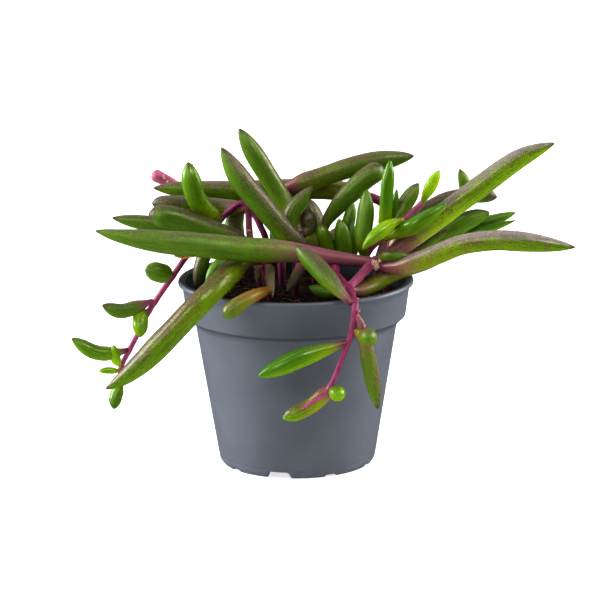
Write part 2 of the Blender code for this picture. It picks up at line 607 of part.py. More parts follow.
def make_plant(name, plant, collection):
    """A stem with its side shoots and leaves, joined into one solid."""
    pieces = bpy.data.collections.new(name + " pieces")
    bpy.context.scene.collection.children.link(pieces)
    x, y = plant["foot"]
    low = Vector((x, y, SOIL_LEVEL - STEM_DEPTH - FLOOR_UNDERSIDE)) * MM
    level = Vector((x, y, SOIL_LEVEL + 0.5 - FLOOR_UNDERSIDE)) * MM
    places = [low, level] + [placed(*point) for point in plant["line"]]
    stem = add_stem(name, places, *plant["thickness"], collection)
    for index, (thick, thin, line) in enumerate(plant.get("shoots", [])):
        places = [placed(*point) for point in line]
        add_stem(f"{name}_shoot_{index}", places, thick, thin, pieces)
    for index, (outline, width, line) in enumerate(plant["leaves"]):
        add_leaf(f"{name}_leaf_{index}", outline, width, line, pieces)
    join = stem.modifiers.new("join", "BOOLEAN")
    join.operation = "UNION"
    join.operand_type = "COLLECTION"
    join.collection = pieces
    join.solver = "EXACT"
    bake(stem)
    for piece in list(pieces.objects):
        bpy.data.objects.remove(piece)
    bpy.data.collections.remove(pieces)
    stem.data.materials.clear()
    stem.data.materials.append(make_material(name + " skin", plant["colour"], 0.4))
    return stem


def main():
    for existing in list(bpy.data.objects):
        bpy.data.objects.remove(existing)
    collection = bpy.data.collections.new("potted trailing succulent")
    bpy.context.scene.collection.children.link(collection)
    made = [make_pot(collection), make_soil(collection)]
    made += [make_plant(name, plant, collection) for name, plant in PLANTS.items()]
    for solid in made:
        solid.data.shade_smooth()
        solid.data.set_sharp_from_angle(angle=math.radians(40))


main()
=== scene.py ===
import math
import random

import bmesh
import bpy
from mathutils import Matrix, Vector, noise


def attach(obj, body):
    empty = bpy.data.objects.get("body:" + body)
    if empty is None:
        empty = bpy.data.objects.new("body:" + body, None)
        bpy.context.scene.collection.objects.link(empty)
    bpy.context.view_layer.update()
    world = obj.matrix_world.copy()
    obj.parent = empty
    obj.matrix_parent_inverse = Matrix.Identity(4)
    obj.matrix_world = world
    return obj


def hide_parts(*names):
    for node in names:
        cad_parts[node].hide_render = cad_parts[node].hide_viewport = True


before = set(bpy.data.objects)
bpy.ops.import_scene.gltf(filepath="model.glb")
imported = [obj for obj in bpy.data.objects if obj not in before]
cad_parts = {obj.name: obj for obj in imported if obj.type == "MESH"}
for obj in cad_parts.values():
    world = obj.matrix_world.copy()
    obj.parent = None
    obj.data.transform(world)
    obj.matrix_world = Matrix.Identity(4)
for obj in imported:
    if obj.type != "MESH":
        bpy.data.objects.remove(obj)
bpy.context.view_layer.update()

scene = bpy.context.scene
scene.view_settings.view_transform = "Standard"
scene.view_settings.gamma = 0.84

# The table top, the lamps and the camera: a white sheet that fades to grey in front, a large
# soft lamp high in front, one at each side, weak ones overhead and behind, and two that only
# give shine. The room is dim in front, so the pot is darkest in its middle.
MM = 0.001
FLOOR_UNDERSIDE = 1.8
SIGHT = Vector((1.0, -780.4, 217.8))
AIM = Vector((1.0, 0.0, 41.9))
ROLL = 0.47
LENS = 188.1
SENSOR = 36.0
TABLE_HALF = 4.0
SHEET_FADE = (-0.30, -0.13)
SHEET_GREYS = (0.30, 0.62)
SHEET_GLOWS = (0.10, 1.0)
SHEET_GLOW = 0.72
FRONT_RUN, FRONT_GLOW = (-1.0, 0.1), (0.04, 0.15)
LEFT_RUN, LEFT_GLOW = (-1.0, -0.2), (0.45, 0.0)


def feed(made, feeds):
    """Feeds a node's inputs, each with a number, a colour, a vector or another's output."""
    for key, value in feeds.items():
        socket = made.inputs[key]
        if isinstance(value, tuple):
            socket.default_value = (*value, 1.0)[:len(socket.default_value)]
        elif isinstance(value, (int, float)):
            socket.default_value = value
        else:
            socket.id_data.links.new(value, socket)


def node(tree, kind, feeds=None, **settings):
    made = tree.nodes.new(kind)
    for key, value in settings.items():
        setattr(made, key, value)
    feed(made, feeds or {})
    return made


def axes_of(vector):
    return node(vector.id_data, "ShaderNodeSeparateXYZ", {0: vector}).outputs


def ramp(value, low, high, out_low=0.0, out_high=1.0, ease="SMOOTHSTEP"):
    """Turns a value's run from low to high into one from out_low to out_high."""
    feeds = {"Value": value, "From Min": low, "From Max": high,
             "To Min": out_low, "To Max": out_high}
    made = node(value.id_data, "ShaderNodeMapRange", feeds, interpolation_type=ease)
    return made.outputs["Result"]


def chained(operation, values, clamp=False):
    """Adds or multiplies a run of values, one node after another."""
    total = values[0]
    for value in values[1:]:
        total = node(total.id_data, "ShaderNodeMath", {0: total, 1: value},
                     operation=operation, use_clamp=clamp).outputs[0]
    return total


def plus(*values):
    return chained("ADD", values)


def times(*values, clamp=False):
    return chained("MULTIPLY", values, clamp)


def new_material(name, roughness, specular=0.5):
    """A plain finish: the material, its shader and the place of each point on the object."""
    material = bpy.data.materials.new(name)
    material.use_nodes = True
    shader = material.node_tree.nodes["Principled BSDF"]
    feed(shader, {"Roughness": roughness, "Specular IOR Level": specular})
    return material, shader, node(material.node_tree, "ShaderNodeTexCoord").outputs["Object"]


def mesh_object(name, bm):
    """Makes an object of a bmesh, at the origin."""
    mesh = bpy.data.meshes.new(name)
    bm.to_mesh(mesh)
    bm.free()
    made = bpy.data.objects.new(name, mesh)
    scene.collection.objects.link(made)
    return made


bm = bmesh.new()
bmesh.ops.create_grid(bm, x_segments=1, y_segments=1, size=TABLE_HALF)
bmesh.ops.translate(bm, verts=bm.verts, vec=(0, 0, -FLOOR_UNDERSIDE * MM))
table_top = mesh_object("table_top", bm)
white_sheet, shader, place = new_material("white sheet", 0.9)
to_back = axes_of(place)["Y"]
feed(shader, {
    "Base Color": ramp(to_back, *SHEET_FADE, *SHEET_GREYS),
    "Emission Color": ramp(to_back, *SHEET_FADE, *SHEET_GLOWS),
    "Emission Strength": SHEET_GLOW,
})
table_top.data.materials.append(white_sheet)
table_top.visible_glossy = False

world = bpy.data.worlds.new("tent")
world.use_nodes = True
scene.world = world
way = axes_of(node(world.node_tree, "ShaderNodeTexCoord").outputs["Generated"])
feed(world.node_tree.nodes["Background"], {
    "Color": (1.0, 1.0, 1.0),
    "Strength": plus(ramp(way["Y"], *FRONT_RUN, *FRONT_GLOW),
                     ramp(way["X"], *LEFT_RUN, *LEFT_GLOW, "LINEAR")),
})


def soft_lamp(name, place, target, size, watts, gives="both", colour=(1.0, 1.0, 1.0)):
    """A rectangular lamp that gives light, shine or both."""
    lamp = bpy.data.lights.new(name, "AREA")
    lamp.shape = "RECTANGLE"
    lamp.size, lamp.size_y = size
    lamp.energy = watts
    lamp.color = colour
    made = bpy.data.objects.new(name, lamp)
    made.location = place
    made.rotation_euler = (Vector(target) - Vector(place)).to_track_quat("-Z", "Y").to_euler()
    made.visible_diffuse = gives != "shine"
    made.visible_glossy = gives != "light"
    scene.collection.objects.link(made)


soft_lamp("lamp_above", (0.05, 0.06, 0.75), (0, 0, 0.04), (0.6, 0.4), 0.9)
soft_lamp("lamp_front", (0.05, -0.85, 0.75), (0, 0, 0.05), (1.3, 0.8), 5.7, "light")
soft_lamp("lamp_shine", (0.27, -0.47, 0.56), (0, 0, 0.05), (0.34, 0.30), 4.0, "shine")
soft_lamp("lamp_shine_left", (-0.36, -0.62, 0.38), (0, 0, 0.05), (0.34, 0.30), 2.8, "shine")
soft_lamp("lamp_top_left", (-0.30, -0.10, 0.62), (0, 0, 0.06), (0.30, 0.20), 0.8)
soft_lamp("lamp_behind", (0.0, 0.60, 0.55), (0, 0.30, 0), (0.9, 0.4), 1.2)
soft_lamp("lamp_left", (-0.75, 0.10, 0.30), (0, 0, 0.04), (0.5, 0.5), 13.0, "both",
          (0.90, 0.95, 1.0))
soft_lamp("lamp_right", (0.75, 0.15, 0.30), (0, 0, 0.04), (0.5, 0.5), 11.0)


def settled(point):
    """A point in millimetres above the table, as a place on the object in metres."""
    return (point - Vector((0, 0, FLOOR_UNDERSIDE))) * MM


camera_data = bpy.data.cameras.new("view")
camera_data.lens = LENS
camera_data.sensor_width = SENSOR
camera = bpy.data.objects.new("view", camera_data)
scene.collection.objects.link(camera)
turn = (settled(AIM) - settled(SIGHT)).to_track_quat("-Z", "Y").to_matrix()
camera.matrix_world = Matrix.Translation(settled(SIGHT)) @ (
    turn @ Matrix.Rotation(-math.radians(ROLL), 3, "Z")
).to_4x4()
scene.camera = camera

# The nursery pot: thin grey polypropylene, moulded in one piece with a small rolled lip, a straight
# band under it, a tapered body and a foot ring with notches that let water out. Shade is painted in as
# dark colour on the inside of its wall above the peat, on the inner side of the lip and on the ledge
# under the band.
POT_HEIGHT = 47.8
RIM_RADIUS = 30.0
BAND_TOP_RADIUS = 28.9
BAND_BOTTOM_RADIUS = 27.9
BAND_BOTTOM = 38.4
SHOULDER_RADIUS = 25.7
SHOULDER = 36.3
BASE_RADIUS = 20.2
BASE = 2.4
FOOT_RADIUS = 19.1
FOOT_WIDTH = 1.7
WALL = 1.1
TURN_STEPS = 160
NOTCH_COUNT = 9
NOTCH_START = -13.8
WIDE_NOTCH = (6.6, 1.8)
SMALL_NOTCH = (3.9, 0.7)
NOTCH_TAPER = (0.78, 1.1)
NOTCH_DEPTH = 6.0
NOTCH_ROUNDING = 0.35
DRAIN_COUNT = 4
DRAIN_RADIUS = 2.4
DRAIN_CIRCLE = 11.0
DRAIN_DEPTH = 8.0
SHARP_ANGLE = 50
WELD_DISTANCE = 0.000002
PLASTIC = {
    "dull grey": (0.0969, 0.10735, 0.1273), "grey": (0.1071, 0.11865, 0.1407),
    "dust": (0.42, 0.41, 0.38), "painted_inner_shade": (0.006, 0.004, 0.004),
    "painted shade under band": (0.006, 0.004, 0.004), "painted shade inside lip": (0.006, 0.004, 0.004),
    "streak": (0.030, 0.024, 0.022), "less shade near lip": (0.036, 0.042, 0.056),
}


def level(up):
    """The Z, in metres, of a height in millimetres above the table."""
    return (up - FLOOR_UNDERSIDE) * MM


def finish(name, bm, material, nodes=()):
    """Makes a piece of a bmesh; it rides on the body and may stand for solids of the frame."""
    piece = mesh_object(name, bm)
    piece.data.shade_smooth()
    piece.data.materials.append(material)
    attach(piece, "root")
    if nodes:
        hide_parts(*nodes)
    return piece


def noise_node(vector, scale, detail=2.0, roughness=0.5):
    feeds = {"Vector": vector, "Scale": scale, "Detail": detail, "Roughness": roughness}
    return node(vector.id_data, "ShaderNodeTexNoise", feeds).outputs["Fac"]


def coated(colours, ground, coats):
    """Lays coats over the ground colour, each coat a named colour with its share."""
    colour = colours[ground]
    for name, share in coats.items():
        feeds = {0: share, 6: colour, 7: colours[name]}
        colour = node(share.id_data, "ShaderNodeMix", feeds, data_type="RGBA").outputs[2]
    return colour


def bump(shader, height, distance, strength=1.0):
    feeds = {"Height": height, "Distance": distance, "Strength": strength}
    made = node(shader.id_data, "ShaderNodeBump", feeds)
    feed(shader, {"Normal": made.outputs["Normal"]})


def from_axis(place):
    """The distance of each point from the pot's axis."""
    axes = axes_of(place)
    flat = node(place.id_data, "ShaderNodeCombineXYZ", {"X": axes["X"], "Y": axes["Y"]})
    made = node(place.id_data, "ShaderNodeVectorMath", {0: flat.outputs[0]}, operation="LENGTH")
    return made.outputs["Value"]


def weld_and_face_out(bm):
    bmesh.ops.remove_doubles(bm, verts=bm.verts, dist=WELD_DISTANCE)
    bmesh.ops.recalc_face_normals(bm, faces=bm.faces)


def rounded(points, steps=4):
    """Eases the inner corners of a profile, each given a radius as its third number."""
    eased = []
    for index, (r, z, radius) in enumerate(points):
        here = Vector((r, z))
        if radius <= 0 or index in (0, len(points) - 1):
            eased.append(here)
            continue
        before = Vector(points[index - 1][:2]) - here
        after = Vector(points[index + 1][:2]) - here
        reach = min(radius, before.length * 0.49, after.length * 0.49)
        start, end = here + before.normalized() * reach, here + after.normalized() * reach
        for step in range(steps + 1):
            t = step / steps
            eased.append(start * (1 - t) ** 2 + here * (2 * t * (1 - t)) + end * t ** 2)
    return eased


floor_top = FLOOR_UNDERSIDE + WALL
pot_profile = rounded([
    (0.0, floor_top, 0), (BASE_RADIUS - WALL - 1.0, floor_top, 0.5),
    (BASE_RADIUS - WALL, floor_top + 1.0, 0.5), (SHOULDER_RADIUS - WALL, SHOULDER, 0.8),
    (BAND_BOTTOM_RADIUS - WALL, BAND_BOTTOM, 0.8),
    (BAND_TOP_RADIUS - WALL, POT_HEIGHT - 2.4, 0.6),
    (RIM_RADIUS - 1.75, POT_HEIGHT - 0.25, 0.5), (RIM_RADIUS - 1.2, POT_HEIGHT, 0.5),
    (RIM_RADIUS - 0.35, POT_HEIGHT, 0.5), (RIM_RADIUS, POT_HEIGHT - 0.5, 0.3),
    (RIM_RADIUS, POT_HEIGHT - 1.05, 0.25), (RIM_RADIUS - 0.5, POT_HEIGHT - 1.45, 0.3),
    (BAND_TOP_RADIUS, POT_HEIGHT - 2.3, 0.6), (BAND_BOTTOM_RADIUS, BAND_BOTTOM, 0.35),
    (BAND_BOTTOM_RADIUS - 0.5, BAND_BOTTOM - 0.35, 0.2),
    (SHOULDER_RADIUS + 0.02, SHOULDER, 0.4), (BASE_RADIUS + 0.02, BASE + 0.35, 0.15),
    (BASE_RADIUS - 0.16, BASE, 0.15), (BASE_RADIUS - 0.2, BASE * 0.5, 0.6),
    (FOOT_RADIUS + 0.05, 0.1, 0.3), (FOOT_RADIUS - 0.3, 0.0, 0.1),
    (FOOT_RADIUS - FOOT_WIDTH, 0.0, 0.2), (FOOT_RADIUS - FOOT_WIDTH, FLOOR_UNDERSIDE, 0.3),
    (0.0, FLOOR_UNDERSIDE, 0),
])
bm = bmesh.new()
spots = [bm.verts.new((p.x * MM, 0.0, level(p.y))) for p in pot_profile]
edges = [bm.edges.new(pair) for pair in zip(spots, spots[1:])]
bmesh.ops.spin(bm, geom=spots + edges, axis=(0, 0, 1), cent=(0, 0, 0), angle=math.tau,
               steps=TURN_STEPS, use_merge=True)
weld_and_face_out(bm)

# The cuts through the foot ring and the floor are made with tapered, round-cornered plugs.
plugs = bmesh.new()
for index in range(NOTCH_COUNT):
    width, height = WIDE_NOTCH if index % 3 == 0 else SMALL_NOTCH
    plug = bmesh.ops.create_cube(plugs, size=1.0)["verts"]
    for vert in plug:
        top = vert.co.z > 0
        vert.co.x *= width * NOTCH_TAPER[0 if top else 1] * MM
        vert.co.y = (vert.co.y * NOTCH_DEPTH - FOOT_RADIUS) * MM
        vert.co.z = level(height if top else -1.0)
    upper = [e for e in {e for v in plug for e in v.link_edges}
             if all(v.co.z > level(height - 0.01) for v in e.verts)
             and abs(e.verts[0].co.x - e.verts[1].co.x) < 1e-7]
    made = bmesh.ops.bevel(plugs, geom=upper, offset=NOTCH_ROUNDING * height * MM,
                           offset_type="OFFSET", segments=3, profile=0.5, affect="EDGES",
                           material=-1)
    whole = [v for v in set(plug) | set(made["verts"]) if v.is_valid]
    angle = math.radians(NOTCH_START + index * 360 / NOTCH_COUNT)
    bmesh.ops.rotate(plugs, verts=whole, matrix=Matrix.Rotation(angle, 3, "Z"))
for index in range(DRAIN_COUNT):
    angle = math.radians(45 + index * 360 / DRAIN_COUNT)
    place = Matrix.Translation((DRAIN_CIRCLE * math.cos(angle) * MM,
                                DRAIN_CIRCLE * math.sin(angle) * MM, 0.0))
    bmesh.ops.create_cone(plugs, cap_ends=True, segments=32, radius1=DRAIN_RADIUS * MM,
                          radius2=DRAIN_RADIUS * MM, depth=DRAIN_DEPTH * MM, matrix=place)
pot_cuts = mesh_object("pot_cuts", plugs)


def pot_plastic():
    """Satin grey plastic: a very fine moulded texture, two mould lines and a little dust, with shade
    painted in as dark colour under the band, on the inner side of the lip and on the inner wall."""
    material, shader, place = new_material("grey pot plastic", 0.42, 0.38)
    axes = axes_of(place)
    out, up = from_axis(place), axes["Z"]
    cloud = noise_node(place, 90, 4.0, 0.6)
    grain = noise_node(place, 5200)
    # Painted shade: the inner side of the wall, above the band's foot, is darkened to near black.
    painted_inner_shade = times(ramp(out, (BAND_BOTTOM_RADIUS - 0.1) * MM, (BAND_BOTTOM_RADIUS + 0.3) * MM,
                       1.0, 0.0),
                  ramp(up, level(BAND_BOTTOM + 1.4), level(BAND_BOTTOM + 2.9)))
    colour = coated(PLASTIC, "dull grey", {
        "grey": ramp(cloud, 0.3, 0.7),
        "dust": times(ramp(noise_node(place, 1900, 3.0, 0.7), 0.66, 0.80), 0.12),
        "painted_inner_shade": painted_inner_shade,
        # Painted shade: a dark strip on the ledge just under the band.
        "painted shade under band": times(
            ramp(up, level(BAND_BOTTOM - 1.4), level(BAND_BOTTOM - 0.6)),
            ramp(up, level(BAND_BOTTOM - 0.2), level(BAND_BOTTOM + 0.1), 0.42, 0.0)),
        # Painted shade: the inner half of the lip's top is darkened.
        "painted shade inside lip": times(
            ramp(out, (RIM_RADIUS - 0.8) * MM, (RIM_RADIUS - 0.1) * MM, 0.85, 0.0),
            ramp(up, level(POT_HEIGHT - 0.6), level(POT_HEIGHT - 0.2))),
    })
    gloss = plus(times(painted_inner_shade, 0.5), ramp(cloud, 0.3, 0.75, 0.36, 0.50))
    feed(shader, {"Base Color": colour, "Roughness": gloss})
    off_mould_line = node(place.id_data, "ShaderNodeMath", {0: axes["Y"]}, operation="ABSOLUTE")
    mould_line = ramp(off_mould_line.outputs[0], 0.00008, 0.00022, 1.0, 0.0)
    bump(shader, plus(times(grain, 0.25), times(mould_line, 0.6)), 0.00006, 0.6)
    return material


def inner_shade_plastic():
    """The inner wall above the peat, painted near black as shade, with lighter streaks, and painted
    less dark towards the lip.
    """
    material, shader, place = new_material("plastic with painted inner shade", 0.8, 0.08)
    streaks = ramp(noise_node(place, 300, 4.0, 0.6), 0.35, 0.70)
    near_lip = ramp(axes_of(place)["Z"], level(BAND_BOTTOM + 1.9), level(BAND_BOTTOM + 6.4))
    colour = coated(PLASTIC, "painted_inner_shade", {"streak": streaks, "less shade near lip": near_lip})
    feed(shader, {"Base Color": colour})
    return material


pot = finish("nursery_pot", bm, pot_plastic(), ["pot"])
pot.data.set_sharp_from_angle(angle=math.radians(SHARP_ANGLE))
cuts = pot.modifiers.new("cuts", "BOOLEAN")
cuts.object = pot_cuts
cuts.solver = "EXACT"
bpy.context.view_layer.update()
cut_pot = pot.evaluated_get(bpy.context.evaluated_depsgraph_get())
cut_mesh = bpy.data.meshes.new_from_object(cut_pot)
pot.modifiers.clear()
pot.data = cut_mesh
bpy.data.objects.remove(pot_cuts)
cut_mesh.materials.append(inner_shade_plastic())
# The inward faces from the band's foot to the lip take the plastic with painted inner shade.
for face in cut_mesh.polygons:
    faces_in = face.normal.xy.dot(face.center.xy) < 0
    if faces_in and level(BAND_BOTTOM - 0.6) < face.center.z < level(POT_HEIGHT - 0.7):
        face.material_index = 1

# The potting mix: dark, damp peat pressed in to a little below the rim, with loose crumbs and
# bits of bark on top. It fills the pot, and the plant's stems stand in it.
SOIL_LEVEL = 43.0
SOIL_CLEARANCE = 0.45
STEM_DEPTH = 7.0
TOP_SHARE = 0.86
PEAT_GRID = (110, 200)
LUMPS = ((3.0, 0.16, 0.9), (7.0, 0.55, 0.75), (1.0, 1.6, 0.45), (5.0, 3.6, 0.22))
CRUMB_COUNT = 520
CRUMB_SIZES = (0.25, 0.35, 0.45, 0.6, 0.8, 1.1)
CRUMB_TONES = (0.0, 0.0, 0.1, 0.3, 0.7)
PEAT_SEED = 11
PEAT = {"black": (0.006, 0.004, 0.003), "damp": (0.030, 0.016, 0.009),
        "bark": (0.095, 0.044, 0.018)}

bottom = FLOOR_UNDERSIDE + WALL + 0.3
edge = BAND_BOTTOM_RADIUS - WALL - SOIL_CLEARANCE
peat_line = [Vector(p) for p in (
    (0.0, SOIL_LEVEL), (edge, SOIL_LEVEL), (edge, BAND_BOTTOM + SOIL_CLEARANCE),
    (SHOULDER_RADIUS - WALL - SOIL_CLEARANCE, SHOULDER),
    (BASE_RADIUS - WALL - SOIL_CLEARANCE, bottom + 1.2),
    (BASE_RADIUS - WALL - 1.0 - SOIL_CLEARANCE, bottom), (0.0, bottom),
)]


def peat_place(share, turn):
    """A point of the peat: share runs from the middle of its top round its side to its foot."""
    if share < TOP_SHARE:
        r, z = edge * share / TOP_SHARE, SOIL_LEVEL
    else:
        t = (share - TOP_SHARE) / (1 - TOP_SHARE) * (len(peat_line) - 2) + 1
        index = min(int(t), len(peat_line) - 2)
        r, z = peat_line[index].lerp(peat_line[index + 1], t - index)
    angle = turn * math.tau
    x, y = r * math.cos(angle), r * math.sin(angle)
    if share < TOP_SHARE:
        lumps = sum(noise.noise(Vector((x, y, start)) * scale) * depth
                    for start, scale, depth in LUMPS)
        z += lumps * min(1.0, (TOP_SHARE - share) / 0.03) + 0.1
    return Vector((x, y, z - FLOOR_UNDERSIDE)) * MM


def peat_material(name, brown):
    """Dull near-black to brown crumb; the tone attribute makes some pieces lighter."""
    material, shader, place = new_material(name, 0.95, 0.08)
    tone = node(place.id_data, "ShaderNodeAttribute", attribute_name="tone").outputs["Fac"]
    coarse = noise_node(place, 420, 4.0, 0.6)
    fine = noise_node(place, 2600, 4.0, 0.7)
    colour = coated({**PEAT, "brown": brown}, "black", {
        "damp": ramp(coarse, 0.35, 0.68),
        "bark": ramp(fine, 0.58, 0.74, 0.0, 0.7),
        "brown": tone,
    })
    feed(shader, {"Base Color": colour})
    bump(shader, plus(fine, times(coarse, 1.5)), 0.00035)
    return material


bm = bmesh.new()
bmesh.ops.create_grid(bm, x_segments=PEAT_GRID[0], y_segments=PEAT_GRID[1], size=1.0)
for vert in bm.verts:
    vert.co = peat_place((vert.co.x + 1) / 2, (vert.co.y + 1) / 2)
weld_and_face_out(bm)
finish("peat", bm, peat_material("damp peat", (0.05, 0.03, 0.02)), ["soil"])

rng = random.Random(PEAT_SEED)
bm = bmesh.new()
tones = bm.verts.layers.float.new("tone")
for index in range(CRUMB_COUNT):
    r = edge * math.sqrt(rng.uniform(0.0, 0.985))
    angle = rng.uniform(0, math.tau)
    size = rng.choice(CRUMB_SIZES) * rng.uniform(0.8, 1.2)
    made = bmesh.ops.create_icosphere(bm, subdivisions=1, radius=size * MM)["verts"]
    tone = rng.choice(CRUMB_TONES) * rng.uniform(0.6, 1.0)
    squash = Vector((rng.uniform(0.7, 1.5), rng.uniform(0.6, 1.1), rng.uniform(0.5, 0.9)))
    spin = Matrix.Rotation(rng.uniform(0, math.tau), 3, "Z")
    for vert in made:
        rough = 1 + 0.35 * noise.noise(vert.co / (size * MM) * 1.3 + Vector((index, 0, 0)))
        vert.co = spin @ (vert.co * squash) * rough
        vert[tones] = tone
    spot = (r * math.cos(angle) * MM, r * math.sin(angle) * MM, level(SOIL_LEVEL + 0.25))
    bmesh.ops.translate(bm, verts=made, vec=spot)
bmesh.ops.recalc_face_normals(bm, faces=bm.faces)
finish("peat_crumbs", bm, peat_material("peat crumbs", (0.13, 0.060, 0.022)))

# The first leafy stem, the one that hangs out to the left: a wine-red stem comes up through
# the middle, arches over and trails down with small plump leaves; older long leaves sit on
# its riser. Leaves and stem are flesh with a smooth waxy skin.
SKIN = {
    "green": (0.082, 0.184, 0.0003), "bright": (0.123, 0.276, 0.00045),
    "young": (0.340, 0.560, 0.0006), "shade": (0.030, 0.120, 0.001),
    "deep": (0.042, 0.160, 0.0005), "base": (0.190, 0.225, 0.003),
    "blotch": (0.175, 0.085, 0.010), "streak": (0.12, 0.20, 0.006),
    "mauve": (0.150, 0.092, 0.114), "speck": (0.078, 0.032, 0.020),
    "painted sheen": (0.420, 0.350, 0.370), "rose": (0.320, 0.060, 0.155),
    "heel": (0.130, 0.010, 0.040), "dry": (0.270, 0.110, 0.012),
    "tip": (0.035, 0.012, 0.016), "shade near soil": (0.040, 0.012, 0.014),
}
STEM = {
    "pink": (0.500, 0.125, 0.225), "crimson": (0.240, 0.008, 0.086),
    "purple": (0.250, 0.003, 0.130), "dark": (0.085, 0.002, 0.036),
    "light streak": (0.50, 0.190, 0.280), "dark streak": (0.120, 0.005, 0.040),
    "cork": (0.120, 0.070, 0.022), "fleck": (0.060, 0.006, 0.018),
    "shade near soil": (0.030, 0.005, 0.012),
}
# Each leaf outline: the neck's share of the width, where the swelling ends and the taper
# starts along the leaf, and how blunt its tip is.
OUTLINES = {
    "long": (0.42, 0.22, 0.68, 2.2), "even": (0.66, 0.10, 0.72, 2.2),
    "stalked": (0.36, 0.50, 0.64, 2.3), "petioled": (0.48, 0.45, 0.64, 2.3),
    "club": (0.30, 0.62, 0.86, 3.0), "paddle": (0.48, 0.45, 0.60, 2.4),
    "withered": (0.20, 0.98, 0.88, 3.0), "blunt": (0.50, 0.20, 0.80, 3.0),
    "young": (0.42, 0.50, 0.50, 2.1), "oval": (0.30, 0.40, 0.60, 2.2),
}
LEAF_LAYERS = ("along", "end", "upper", "blush", "youth", "rose", "dry", "sheen_paint")
STEM_LAYERS = ("along", "wine")
TIP_ROUNDNESS = 0.78
TIP_RADIUS, TIP_LENGTH = 0.16, 0.22
TOP_FLATNESS = 0.21
JOINT_SWELL, JOINT_REACH = 0.16, 0.8
UV_LENGTH = 30
FINE_STEPS = 400
STEM_STEPS = 240
STEM_ROUNDS = 18
STEM_CAP = 0.35


def smooth(t):
    t = min(max(t, 0.0), 1.0)
    return t * t * (3 - 2 * t)


def placed(across, up, behind):
    """The place of a point of the plant's front view, in metres."""
    front = Vector((across, 0.0, up))
    return settled(front + (front - SIGHT) * (behind / -SIGHT.y))


def placed_line(points):
    return [placed(*point) for point in points]


def curve_point(points, t):
    """The point at t, from 0 to 1, of the smooth curve through evenly counted points."""
    spans = len(points) - 1
    index = min(int(t * spans), spans - 1)
    local = t * spans - index
    here, there = points[index], points[index + 1]
    before = points[index - 1] if index > 0 else here * 2 - there
    after = points[index + 2] if index + 2 <= spans else there * 2 - here
    return 0.5 * (
        2 * here
        + (there - before) * local
        + (2 * before - 5 * here + 4 * there - after) * local ** 2
        + (3 * here - before - 3 * there + after) * local ** 3
    )


class Path:
    """A smooth line with an even run of places and a frame that doesn't twist."""

    def __init__(self, points, count=160):
        fine = [curve_point(points, i / FINE_STEPS) for i in range(FINE_STEPS + 1)]
        run = [0.0]
        for a, b in zip(fine, fine[1:]):
            run.append(run[-1] + (b - a).length)
        self.length = run[-1]
        self.places, at = [], 0
        for i in range(count + 1):
            wanted = self.length * i / count
            while at < FINE_STEPS - 1 and run[at + 1] < wanted:
                at += 1
            span = max(run[at + 1] - run[at], 1e-12)
            self.places.append(fine[at].lerp(fine[at + 1], (wanted - run[at]) / span))
        ways = [(self.places[min(i + 1, count)] - self.places[max(i - 1, 0)]).normalized()
                for i in range(count + 1)]
        middle = count // 2
        up = Vector((0, 0, 1)) - ways[middle] * ways[middle].z
        if up.length < 0.12:
            up = Vector((0.3, -1, 0)) - ways[middle] * Vector((0.3, -1, 0)).dot(ways[middle])
        ups = {middle: up.normalized()}
        for step, order in ((1, range(middle + 1, count + 1)), (-1, range(middle - 1, -1, -1))):
            for i in order:
                last = ups[i - step]
                ups[i] = (last - ways[i] * last.dot(ways[i])).normalized()
        self.ways, self.ups, self.count = ways, ups, count

    def frame(self, share):
        t = min(max(share, 0.0), 1.0) * self.count
        index = min(int(t), self.count - 1)
        local = t - index
        way = self.ways[index].lerp(self.ways[index + 1], local).normalized()
        up = self.ups[index].lerp(self.ups[index + 1], local)
        up = (up - way * up.dot(way)).normalized()
        return self.places[index].lerp(self.places[index + 1], local), way, up


def start_piece(names):
    """An empty bmesh whose points hold the named values, with a UV map."""
    bm = bmesh.new()
    for name in names:
        bm.verts.layers.float.new(name)
    bm.loops.layers.uv.new("skin")
    return bm


def flat_skin(names, steps, rounds, length):
    """A grid to wrap round a path, with its UV map laid along it, and its layers of values."""
    part = start_piece(names)
    bmesh.ops.create_grid(part, x_segments=steps, y_segments=rounds, size=1.0)
    uv = part.loops.layers.uv["skin"]
    for face in part.faces:
        for loop in face.loops:
            x, y, _ = loop.vert.co
            loop[uv].uv = ((y + 1) / 2, (x + 1) / 2 * length / UV_LENGTH)
    return part, [part.verts.layers.float[name] for name in names]


def close_and_add(bm, part):
    """Closes one wrapped skin and adds it to a piece's bmesh, with its layers."""
    weld_and_face_out(part)
    mesh = bpy.data.meshes.new("part")
    part.to_mesh(mesh)
    part.free()
    bm.from_mesh(mesh)
    bpy.data.meshes.remove(mesh)


